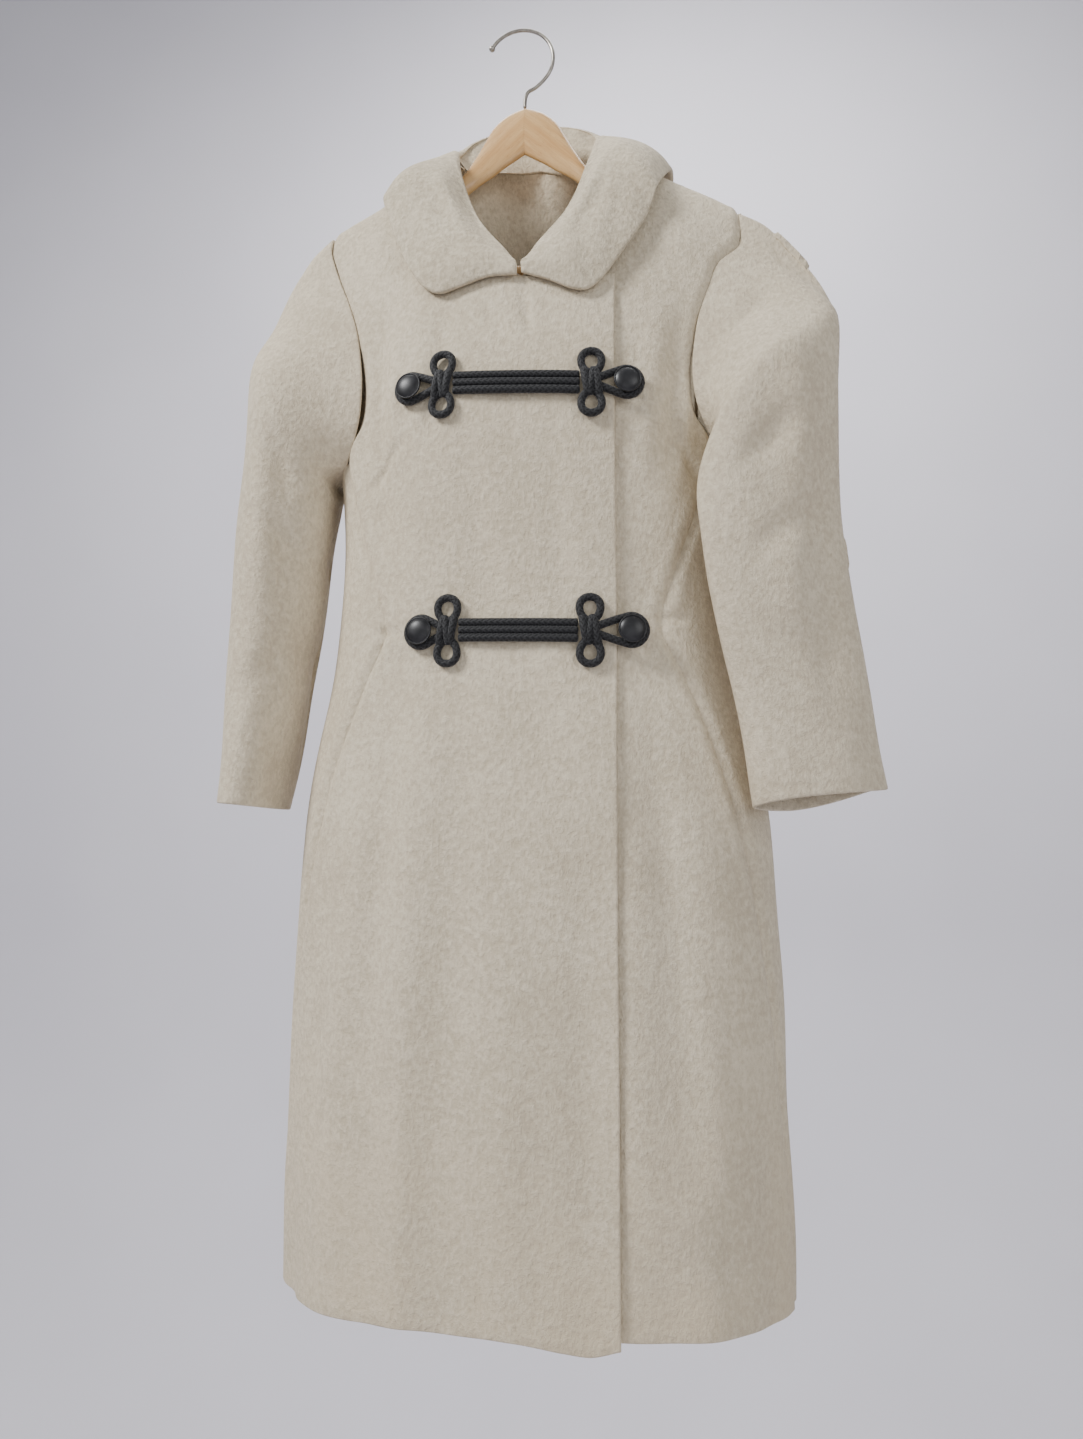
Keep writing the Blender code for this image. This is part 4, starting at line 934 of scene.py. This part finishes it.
for label, side, sections, pace in (("sleeve_left", -1, SLEEVE_LEFT, PACE_LEFT),
                                    ("sleeve_right", 1, SLEEVE_RIGHT, PACE_RIGHT)):
    outside = refine(sleeve_rings(side, sections, pace), 170, 150, ring=True)
    normals = outward_normals(outside, ring=True)
    free = ease(np.linspace(0, 9, len(outside)))[:, None, None]
    outside = soft_waves(outside, normals * free, 1.1)
    outside = pressed(outside, normals * free, CREASES_SLEEVE[side])
    outside = inset(outside, 0.3, "t")
    grid = tube_shell(outside, outward_normals(outside, ring=True), WOOL)
    SHEETS[label] = add_piece(label, grid_mesh(label, grid, True, True), WOOL_SLEEVE_PAINTED_SHADE, "cream_wool", label)
print("sleeves made")

# %% [markdown]
# ## Collar
# The real collar is one strip that stands up round the neck and falls over in two rounded leaves.
# A section is drawn at each place round the neck, and the fall is kept clear of the shoulders.
# One strip goes up the stand, round the roll and down the fall. Its outer edge is thick and soft.

# %% Sizes of the collar
COLLAR_THICK = 4.5
COLLAR_STAND_OFF = 12.5
# Roll line: share of the way round, distance out, y, height
COLLAR_ROLL = np.array([
    (0.00, 4, -82, -285), (0.12, 16, -73, -262), (0.24, 29, -61, -240), (0.38, 45, -42, -205),
    (0.50, 57.5, -29, -163), (0.62, 65, -6, -124), (0.74, 67, 21, -102), (0.87, 46, 42, -74),
    (1.00, 0, 50, -64),
], float)
COLLAR_DRIFT = 12.0
# Outer edge in front: share, out and height at the left, out and height at the right
COLLAR_EDGE = np.array([
    (0.00, 3, -300, 4, -299), (0.04, 20, -300, 20, -306), (0.08, 36, -302, 33, -312),
    (0.12, 50, -308, 45, -318), (0.17, 64, -310.5, 54, -318.5), (0.22, 76, -306, 63, -313),
    (0.28, 87, -293, 72, -301), (0.36, 101, -268, 86, -277), (0.44, 113, -239, 100, -251),
    (0.52, 124, -208, 110, -225), (0.58, 130, -184, 116, -200),
], float)
# Outer edge behind the shoulder: share, distance out, y, height
COLLAR_EDGE_BACK = np.array([
    (0.62, 126, -12, -162), (0.68, 127, 16, -160), (0.76, 116, 46, -156), (0.88, 74, 70, -152),
    (1.00, 0, 80, -152),
], float)
COLLAR_SHOULDER = 0.62
COLLAR_SHARES = (0, 0.05, 0.11, 0.18, 0.25, 0.33, 0.41, 0.49, 0.56, 0.62, 0.66, 0.70, 0.75, 0.82, 0.91, 1)
COLLAR_ROLL_RADIUS = 5.6
COLLAR_BULGE = 0.14
COLLAR_FOOT = 0.9
COLLAR_CORNER_LIFT = 6.5
COLLAR_CORNER_IN = 2.0
print(len(COLLAR_SHARES), "places round half the collar")

# %% Collar
# Creases of the collar: from x, z to x, z, then depth and width
CREASES_COLLAR = np.array([
    (-92, -180, -104, -262, 1.6, 9.0), (-60, -240, -84, -296, -1.2, 8.0),
    (88, -196, 78, -280, 1.8, 9.0), (52, -262, 60, -304, 1.4, 7.0), (96, -150, 112, -196, 1.6, 8.0),
], float)
def neck_place(side, share):
    """Point and outward direction of the neckline, at a share of the way to the centre back."""
    if share <= COLLAR_SHOULDER:
        out, z = resample(neck_front(side), 41)[int(round(share / COLLAR_SHOULDER * 40))]
        base = skin(side * angle_at(out, z), z)
        front_normal = skin_normal(side * angle_at(out, z), z)
        base = base + front_normal * (lap_lift(-out, z) if side < 0 else 0.0)
    else:
        place = (share - COLLAR_SHOULDER) / (1 - COLLAR_SHOULDER)
        out, drop = resample(neck_back(side), 41)[int(round(place * 40))]
        z = ridge(side * out)[0] - abs(drop)
        base = skin(side * angle_at(out, z), z, drop >= 0)
        front_normal = np.zeros(3)
    in_front = 1 - ease((share - COLLAR_SHOULDER + 0.14) / 0.14)
    behind = ease((share - COLLAR_SHOULDER - 0.06) / 0.24)
    over = 1 - in_front - behind
    return base, unit(front_normal * in_front + np.array([side * 0.55, 0, 0.83]) * over
                      + np.array([0, 0.97, 0.25]) * behind)


def collar_section(side, share, samples):
    """Seen face of the collar at one place, and the direction across its foot.

    The line goes up the stand, round the roll and down the fall.
    """
    base, normal = neck_place(side, share)
    out, y, z = curve_through(COLLAR_ROLL, share)
    roll = np.array([CENTRE_X + side * out - COLLAR_DRIFT * share, y, z])
    edge_out, edge_z = COLLAR_EDGE[:, 1:3].T if side < 0 else COLLAR_EDGE[:, 3:5].T
    angles = side * angle_at(edge_out, edge_z)
    front = skin(angles, edge_z) + skin_normal(angles, edge_z) * COLLAR_STAND_OFF
    behind = COLLAR_EDGE_BACK[:, 1:] * (side, 1, 1) + (CENTRE_X, 0, 0)
    shares = np.concatenate([COLLAR_EDGE[:, 0], COLLAR_EDGE_BACK[:, 0]])
    edge = curve_through(np.column_stack([shares, np.vstack([front, behind])]), share)
    fall = unit(edge - roll)
    spoke = unit((base - (CENTRE_X, 0, base[2])) * (1, 1, 0))
    inward = unit((spoke @ normal) * normal - spoke)
    outward = unit(normal - (normal @ fall) * fall)
    up = unit(roll - 0.5 * (base + edge))
    up = unit(up - (up @ outward) * outward)
    centre = roll - up * COLLAR_ROLL_RADIUS
    corner = np.exp(-((share - COLLAR_SHOULDER - 0.05) / 0.14) ** 2)
    foot = (base + inward * (COLLAR_FOOT + corner * COLLAR_CORNER_IN)
            + normal * (corner * COLLAR_CORNER_LIFT - COLLAR_THICK))
    arc = [centre + COLLAR_ROLL_RADIUS * (np.sin(turn) * up - np.cos(turn) * outward)
           for turn in np.radians((0, 45, 90, 135, 180))]
    length = np.linalg.norm(edge - arc[-1])
    leaf = [arc[-1] + (edge - arc[-1]) * t + outward * COLLAR_BULGE * length * 4 * t * (1 - t)
            for t in (0.2, 0.4, 0.6, 0.8, 1.0)]
    line = [foot, 0.5 * (foot + arc[0])] + arc + [clear_of_body(point, samples) for point in leaf]
    return line, normal


def shoulder_samples():
    """Close-set places on the cloth round the neck and shoulders, with their directions."""
    angle, drop = np.meshgrid(np.arange(-180, 180, 2.0), np.arange(0.5, 200, 3.0))
    z = spread_ridge(angle) - drop
    return skin(angle, z).reshape(-1, 3), skin_normal(angle, z).reshape(-1, 3)


def clear_of_body(point, samples):
    """Move a point of the collar's leaf out to its distance from the nearest cloth."""
    places, directions = samples
    nearest = np.argmin(np.sum((places - point) ** 2, axis=1))
    reach = (point - places[nearest]) @ directions[nearest]
    return point + directions[nearest] * max(0.0, COLLAR_STAND_OFF - reach)


def collar_grids():
    """Coarse grids of the collar's seen face and of its normals, end to end round the back."""
    samples = shoulder_samples()
    sections = [[collar_section(side, share, samples) for share in COLLAR_SHARES] for side in (-1, 1)]
    strip = sections[0] + sections[1][::-1][1:]
    seen = np.array([line for line, _ in strip])
    normals = grid_normals(seen)
    if normals[len(COLLAR_SHARES) - 1, -1, 1] < 0:
        normals = -normals
    normals[:, 0] = -np.array([outward for _, outward in strip])
    normals[:, 1] = 0.5 * (normals[:, 0] + normals[:, 2])
    return seen, normals


seen, across_cloth = collar_grids()
outside, normals = refine(seen, 260, 76), unit(refine(across_cloth, 260, 76))
free = ease(np.linspace(-0.35, 1.2, 76))[None, :, None]
outside = soft_waves(outside, normals * free, 0.8)
outside = pressed(outside, normals * free, CREASES_COLLAR)
mesh = grid_mesh("collar", shell(outside, normals, COLLAR_THICK), False, True)
SHEETS["collar"] = add_piece("collar", mesh, WOOL_COLLAR_PAINTED_SHADE, "cream_wool", "collar")
print("collar made")

# %% [markdown]
# ## Frogs
# A frog is a flat ornament of cord: a bar of three cords, and a knot with two loops at each end.
# Each button stands on a shank inside a cord loop, so the loops are drawn round the shank.
# A cord is a circle carried along a path. Its length and girth are kept as coordinates, so the
# braid follows every bend. Three cords lie side by side in each bar.

# %% Sizes of the frogs
# Each frog: height at its left and right end, knots out at left and right, buttons out
FROGS = {"upper": (-397.0, -403.0, 61.0, 61.0, 88.0, 88.5), "lower": (-603.0, -606.0, 55.5, 58.5, 77.5, 90.0)}
CORD_RADIUS = 3.2
BAR_FULLNESS = 1.04
CORD_SEAT = 0.6
KNOT_LOOP_RISE = 18.6
KNOT_LOOP_RADIUS = 8.4
KNOT_HEART_RADIUS = 6.8
KNOT_SPACE = KNOT_HEART_RADIUS + 3.6
LOOP_RADIUS = 11.6
BUTTON_RADIUS = 11.3
BUTTON_RISE = 2 * CORD_RADIUS + CORD_SEAT + 0.4
BUTTON_DOME = 5.2
SHANK_RADIUS = 3.5
BUTTON_FOOT = 0.55
print(len(FROGS), "frogs")

# %% Cords
def on_front(out, z, rise):
    """Point over the front, at a rise above the over front's outside."""
    angle = angle_at(out, z)
    return skin(angle, z) + skin_normal(angle, z) * (LAP_LIFT + rise)


def surface_frame(out, z, rise):
    """A place on the front and its directions: across, up along the cloth, and outward."""
    centre = on_front(out, z, rise)
    across = unit(on_front(out + 2, z, rise) - on_front(out - 2, z, rise))
    outward = unit(np.cross(across, on_front(out, z + 2, rise) - on_front(out, z - 2, rise)))
    return centre, across, np.cross(outward, across), outward


def carried(points, radius, closed=False, around=20, up=(0, -1, 0)):
    """Circle carried along a path: a grid of points with its length and girth coordinates."""
    ends = np.roll(points, -1, axis=0) - np.roll(points, 1, axis=0) if closed else np.gradient(points, axis=0)
    forward = unit(ends)
    outward = unit(np.asarray(up, float) - np.sum(forward * up, -1, keepdims=True) * forward)
    beside = np.cross(forward, outward)
    turn = np.linspace(0, 2 * np.pi, around, endpoint=False)[None, :, None]
    radius = np.broadcast_to(np.asarray(radius, float), (len(points),))[:, None, None]
    grid = points[:, None] + radius * (np.cos(turn) * beside[:, None] + np.sin(turn) * outward[:, None])
    reach = np.concatenate([[0], np.cumsum(np.linalg.norm(np.diff(points, axis=0), axis=1))]) / 10
    return grid, reach, np.linspace(0, 1, around + 1)


def smooth_path(points, count, closed=False):
    """Evenly spaced points along a smooth curve through the given ones."""
    points = np.asarray(points, float)
    if not closed:
        return resample(points, count)
    lap = np.concatenate([points[-3:], points, points[:4]])
    reach = np.concatenate([[0], np.cumsum(np.linalg.norm(np.diff(lap, axis=0), axis=1))])
    read = np.linspace(reach[3], reach[-4], count, endpoint=False)
    return curve_through(np.column_stack([reach, lap]), read)


def cord_mesh(name, paths, radius):
    """One mesh of several cords; an open cord's ends are drawn in to a soft tip."""
    meshes = []
    for points, closed in paths:
        size = np.full(len(points), float(radius))
        if not closed:
            points = np.concatenate([points[:1], points[:1], points, points[-1:], points[-1:]])
            step = unit(points[3] - points[2]) * 1.4
            last = unit(points[-3] - points[-4]) * 1.4
            points[0] -= step
            points[1] -= step * 0.7
            points[-1] += last
            points[-2] += last * 0.7
            size = np.concatenate([[0.15, 0.75], np.ones(len(points) - 4), [0.75, 0.15]]) * radius
        grid, reach, girth = carried(points, size, closed)
        meshes.append(outside_out(grid_mesh(name, grid, closed, True, (reach, girth))))
    if len(meshes) == 1:
        return meshes[0]
    return merged(name, meshes)


def merged(name, meshes):
    """Join separate closed meshes into one, keeping their length and girth coordinates."""
    points, faces, places, start = [], [], [], 0
    for mesh in meshes:
        count = len(mesh.vertices)
        co = np.empty(count * 3, np.float32)
        mesh.vertices.foreach_get("co", co)
        index = np.empty(len(mesh.loops), np.int32)
        mesh.loops.foreach_get("vertex_index", index)
        uv = np.zeros(len(mesh.loops) * 2, np.float32)
        if mesh.uv_layers:
            mesh.uv_layers[0].data.foreach_get("uv", uv)
        points.append(co.reshape(-1, 3))
        faces.append(index.reshape(-1, 4) + start)
        places.append(uv)
        start += count
        bpy.data.meshes.remove(mesh)
    whole = bpy.data.meshes.new(name)
    whole.from_pydata(np.concatenate(points), [], np.concatenate(faces))
    whole.uv_layers.new(name="UVMap").data.foreach_set("uv", np.concatenate(places))
    return whole


print("cord tools ready")

# %% Bars, knots and loops
def frog_parts(row, left_z, right_z, left_knot, right_knot, left_button, right_button):
    """All cords of one frog: the bar of three, two loops at each knot, and the button loops."""
    lines = []
    for shift in (-2 * CORD_RADIUS, 0.0, 2 * CORD_RADIUS):
        t = np.linspace(0, 1, 90)
        out = KNOT_SPACE - left_knot + (left_knot + right_knot - 2 * KNOT_SPACE) * t
        lines.append((on_front(out, left_z + (right_z - left_z) * t + shift, CORD_SEAT + CORD_RADIUS), False))
    bar = cord_mesh("bar", lines, CORD_RADIUS * BAR_FULLNESS)
    add_piece(f"frog_{row}_bar", bar, CORD, "black_cord", f"frog_{row}_bar")
    for place, out, z, button_out in (("left", -left_knot, left_z, -left_button),
                                      ("right", right_knot, right_z, right_button)):
        centre, across, upward, outward = surface_frame(out, z, CORD_SEAT + CORD_RADIUS)
        inner = across * np.sign(button_out - out) * -1
        loops = []
        for way in (-1, 1):
            middle = centre + upward * KNOT_LOOP_RISE * way
            turn = np.linspace(0, 2 * np.pi, 16, endpoint=False)[:, None]
            ring = (middle + across * np.cos(turn) * KNOT_LOOP_RADIUS
                    + upward * np.sin(turn) * (KNOT_LOOP_RADIUS + 1.2) * (1 - 0.12 * way * np.sin(turn)))
            loops.append((smooth_path(ring, 90, True), True))
        for shift, lean in ((-4.6, 3.4), (0.0, -3.4), (4.6, 3.4)):
            t = np.linspace(-1, 1, 24)[:, None]
            strand = (centre + outward * (2.4 * (1 - t**2) + 0.6) + inner * (shift + lean * t * 0.5)
                      + upward * t * 10.5)
            loops.append((strand, False))
        add_piece(f"frog_{row}_knot_{place}", cord_mesh("knot", loops, CORD_RADIUS), CORD, "black_cord",
                  f"frog_{row}_knot_{place}")
        button_loop(f"frog_{row}_loop_{place}", button_out, out, z)
        button(f"button_{row}_{place}", button_out, z, 0.0 if place == "left" else LAP_LIFT)


def button_loop(name, button_out, knot_out, z):
    """Cord from the knot round the button's shank and back."""
    centre, across, upward, _ = surface_frame(button_out, z, CORD_SEAT + CORD_RADIUS)
    towards = across * np.sign(knot_out - button_out)
    reach = abs(knot_out - button_out) - KNOT_HEART_RADIUS * 0.4
    half = np.degrees(np.arccos(min(0.96, LOOP_RADIUS / reach)))
    turns = np.radians(np.linspace(half, 360 - half, 13))
    points = [centre + LOOP_RADIUS * (np.cos(a) * towards + np.sin(a) * upward) for a in turns]
    points = [centre + towards * reach + upward * 2.6] + points + [centre + towards * reach - upward * 2.6]
    path = smooth_path(points, 130)
    add_piece(name, cord_mesh(name, [(path, False)], CORD_RADIUS), CORD, "black_cord", name)


def button(name, out, z, seat):
    """Domed button turned about its shank, with a fine raised rim."""
    centre, across, upward, outward = surface_frame(out, z, 0.0)
    foot = BUTTON_FOOT - seat
    arch = np.linspace(88, 22, 22)
    dome = [(BUTTON_RADIUS * 0.9 * np.cos(a), BUTTON_RISE + 1.2 + (BUTTON_DOME - 1.2) * np.sin(a))
            for a in np.radians(arch)]
    rim = [(BUTTON_RADIUS * 0.9 + 0.5 + 0.62 * np.cos(a), BUTTON_RISE + 1.9 + 0.9 * np.sin(a))
           for a in np.radians(np.linspace(150, -60, 14))]
    under = [(BUTTON_RADIUS * 0.8, BUTTON_RISE), (SHANK_RADIUS + 0.4, BUTTON_RISE),
             (SHANK_RADIUS, BUTTON_RISE - 0.5), (SHANK_RADIUS, foot + 0.3), (0.05, foot)]
    profile = np.array([(0.05, BUTTON_RISE + BUTTON_DOME)] + dome + rim + under)
    turn = np.linspace(0, 2 * np.pi, 64, endpoint=False)[None, :, None]
    grid = (centre + (np.cos(turn) * across + np.sin(turn) * upward) * profile[:, 0][:, None, None]
            + outward * profile[:, 1][:, None, None])
    add_piece(name, grid_mesh(name, grid, False, True), BUTTON, "black_button", name)


for label, sizes in FROGS.items():
    frog_parts(label, *sizes)
print("two frogs made")

# %% [markdown]
# ## Hanger
# The hanger is only seen in the neck, but it carries the coat, so its arms follow the shoulders.
# Two arms of wood meet in a glued joint; the hook's wire ends in a small ball.

# %% Sizes of the hanger
HANGER_HALF_SPAN = 184.0
HANGER_THICK = 12.0
ARM_TIP_THICK = 8.0
ARM_TIP_BACK = 3.5
CLOTH_CLEARANCE = 4.0
# Wood near the neck: distance out, top, bottom
HANGER_NECK = np.array([
    (0, -80, -127), (10, -83, -133), (20, -88, -139), (30, -97, -146), (37, -109, -150),
    (46, -125, -156), (60, -146, -167),
], float)
ARM_DEPTH = 26.0
RIDGE_SLOPE = 1.22
HEEL_OUT = 170.0
HEEL_BOTTOM = -263.0
BAR_RADIUS = 5.0
BAR_Z = -256.0
BAR_Y = -21.0
HOOK_WIRE = 1.75
HOOK_FOOT = -79.5
HOOK_RADIUS = 31.75
HOOK_CENTRE = (-2.5, -30.0)
BALL_RADIUS = 3.0
print("arms reach", HANGER_HALF_SPAN, "mm")

# %% Wood and wire
def arm_top(side, reach):
    """Height of the wood's top edge, at a distance out from the hook."""
    out = HANGER_X + side * reach - CENTRE_X
    under_cloth = ridge(out)[0] - (WOOL + CLOTH_CLEARANCE) * RIDGE_SLOPE
    neck = curve_through(HANGER_NECK, reach)[..., 0]
    share = ease((reach - HANGER_NECK[-1, 0]) / 26)
    return neck * (1 - share) + under_cloth * share


def arm_rings(side):
    """One arm, from the flat glued joint in the middle to the heel that holds the bar."""
    reach = np.array([0.05, 10, 20, 30, 37, 46, 60, 72, 86, 105, 125, 150, HEEL_OUT - 1, HEEL_OUT,
                      HANGER_HALF_SPAN - 4, HANGER_HALF_SPAN])
    top = arm_top(side, reach)
    neck_bottom = curve_through(HANGER_NECK, reach)[..., 1]
    share = ease((reach - HANGER_NECK[-1, 0]) / 40)
    bottom = neck_bottom * (1 - share) + (top - ARM_DEPTH) * share
    bottom = np.where(reach >= HEEL_OUT, HEEL_BOTTOM, bottom)
    top[-1] -= 3
    bottom[-1] += 4
    out = HANGER_X + side * reach - CENTRE_X
    forward = ridge(out)[1] * ease(reach / 60) + ARM_TIP_BACK * ease((reach - 100) / 70)
    thick = HANGER_THICK / 2 - (HANGER_THICK - ARM_TIP_THICK) / 2 * ease((reach - 80) / 90)
    thick[-1] *= 0.7
    turn = np.linspace(0, 2 * np.pi, 12, endpoint=False)[None, :]
    across, high = np.cos(turn), np.sin(turn)
    middle, half = (top + bottom)[:, None] / 2, (top - bottom)[:, None] / 2
    x = np.broadcast_to((HANGER_X + side * reach)[:, None], (len(reach), 12))
    rings = np.stack([x, forward[:, None] + thick[:, None] * across, middle + half * high], -1)
    return rings


def hook_route():
    """Up out of the wood, through a small bend, and three quarters round the hook's circle."""
    centre_x, centre_z = HOOK_CENTRE
    around = np.radians(np.linspace(-42, 150, 17))
    circle = [(centre_x + HOOK_RADIUS * np.cos(a), 0.0, centre_z + HOOK_RADIUS * np.sin(a)) for a in around]
    foot = [(HANGER_X, 0.0, HOOK_FOOT), (HANGER_X + 0.5, 0.0, -70.0), (5.0, 0.0, -63.5), (12.0, 0.0, -59.5)]
    return foot + circle


for label, side in (("hanger_half_left", -1), ("hanger_half_right", 1)):
    add_piece(label, grid_mesh(label, refine(arm_rings(side), 110, 40, ring=True), False, True),
              BEECH_ARM, "varnished_beech", label)
span = np.linspace(-1, 1, 60)
ends = 1 - 0.5 * np.clip((np.abs(span) - 0.99) / 0.01, 0, 1)
bar = np.column_stack([HANGER_X + span * (HEEL_OUT - 1), np.full(60, BAR_Y), np.full(60, BAR_Z)])
add_piece("hanger_bar", grid_mesh("hanger_bar", carried(bar, BAR_RADIUS * ends)[0], False, True), BEECH_BAR,
          "varnished_beech", "hanger_bar")
route = smooth_path(hook_route(), 160)
wire = np.concatenate([[HOOK_WIRE * 0.3], np.full(158, HOOK_WIRE), [HOOK_WIRE * 0.9]])
grids = [carried(route, wire, around=24)[0]]
turn = np.linspace(0, 2 * np.pi, 28, endpoint=False)[None, :]
rise = np.linspace(0.02, np.pi - 0.02, 18)[:, None]
ball = np.stack([np.sin(rise) * np.cos(turn), np.sin(rise) * np.sin(turn), np.cos(rise) + 0 * turn], -1)
grids.append(route[-1] + BALL_RADIUS * ball)
hook = merged("hanger_hook", [outside_out(grid_mesh("wire", grid, False, True)) for grid in grids])
add_piece("hanger_hook", hook, NICKEL, "dark_nickel", "hanger_hook")
print("hanger made")

# %% [markdown]

# %% [markdown]
# ## Studio
# A pale curved backdrop stands well behind the coat, so that it can be seen from all round, and wide
# lamps give it soft light.

# %% Backdrop
# The wall, the floor and the curve between them, in millimetres
WALL_Y, FLOOR_Z, COVE = 2600.0, -2300.0, 1300.0
# Each lamp's place, aim, size in metres and power
LAMPS = (
    ("key", (-1.9, -1.5, 1.2), (0.0, 0.0, -0.55), 0.9, 104.0),
    ("fill", (2.0, -1.8, 0.1), (0.0, 0.0, -0.6), 1.6, 22.0),
    ("low", (0.3, -2.8, -1.2), (0.0, 0.0, -0.8), 1.6, 8.0),
    ("wall", (0.0, 0.9, 1.7), (0.0, 2.6, -0.9), 2.2, 70.0),
)
AIR = 0.42

BACKDROP, surface, place = start_material("pale_backdrop", Roughness=0.9)
cloud, grit = place.noise(600, 2.0, 0.5), place.noise(3, 2.0, 0.6)
finish_material(surface, cloud.between(0.2, 0.8).blend((0.66, 0.64, 0.69), (0.70, 0.68, 0.73)),
                0.88 + grit * 0.06, grit, 0.1)
bend = np.radians(np.linspace(0, 90, 24))
profile = np.array([(WALL_Y, 3500.0), (WALL_Y, FLOOR_Z + COVE)]
                   + [(WALL_Y - COVE + COVE * np.cos(a), FLOOR_Z + COVE - COVE * np.sin(a)) for a in bend[1:]]
                   + [(-6000.0, FLOOR_Z)])
sides = np.linspace(-7000, 7000, 9)
wall = np.stack(np.broadcast_arrays(sides[None, :], profile[:, :1], profile[:, 1:]), -1)
mesh = grid_mesh("backdrop", wall)
mesh.materials.append(BACKDROP)
mesh.shade_smooth()
backdrop = bpy.data.objects.new("backdrop", mesh)
bpy.context.scene.collection.objects.link(backdrop)

# %% Lamps and camera
for name, place, aim, size, watts in LAMPS:
    lamp = bpy.data.lights.new(name, "AREA")
    lamp.shape, lamp.size, lamp.energy = "DISK", size, watts
    stand = bpy.data.objects.new(name, lamp)
    stand.location = place
    stand.rotation_euler = (Vector(aim) - Vector(place)).to_track_quat("-Z", "Y").to_euler()
    bpy.context.scene.collection.objects.link(stand)
world = bpy.data.worlds.new("studio_air")
world.use_nodes = True
world.node_tree.nodes["Background"].inputs["Color"].default_value = (0.93, 0.95, 1.0, 1.0)
world.node_tree.nodes["Background"].inputs["Strength"].default_value = AIR
bpy.context.scene.world = world

lens = bpy.data.cameras.new("camera")
lens.sensor_fit, lens.sensor_height, lens.lens = "VERTICAL", 36.0, 36.0 * 1060 / 1439
camera = bpy.data.objects.new("camera", lens)
camera.location = (0.15500995, -0.91716231, -0.77668642)
turn, tilt = np.radians(8.5), np.radians(6.9)
look = Vector((-np.sin(turn) * np.cos(tilt), np.cos(turn) * np.cos(tilt), np.sin(tilt)))
camera.rotation_euler = look.to_track_quat("-Z", "Y").to_euler()
bpy.context.scene.collection.objects.link(camera)
bpy.context.scene.camera = camera
print("studio ready")
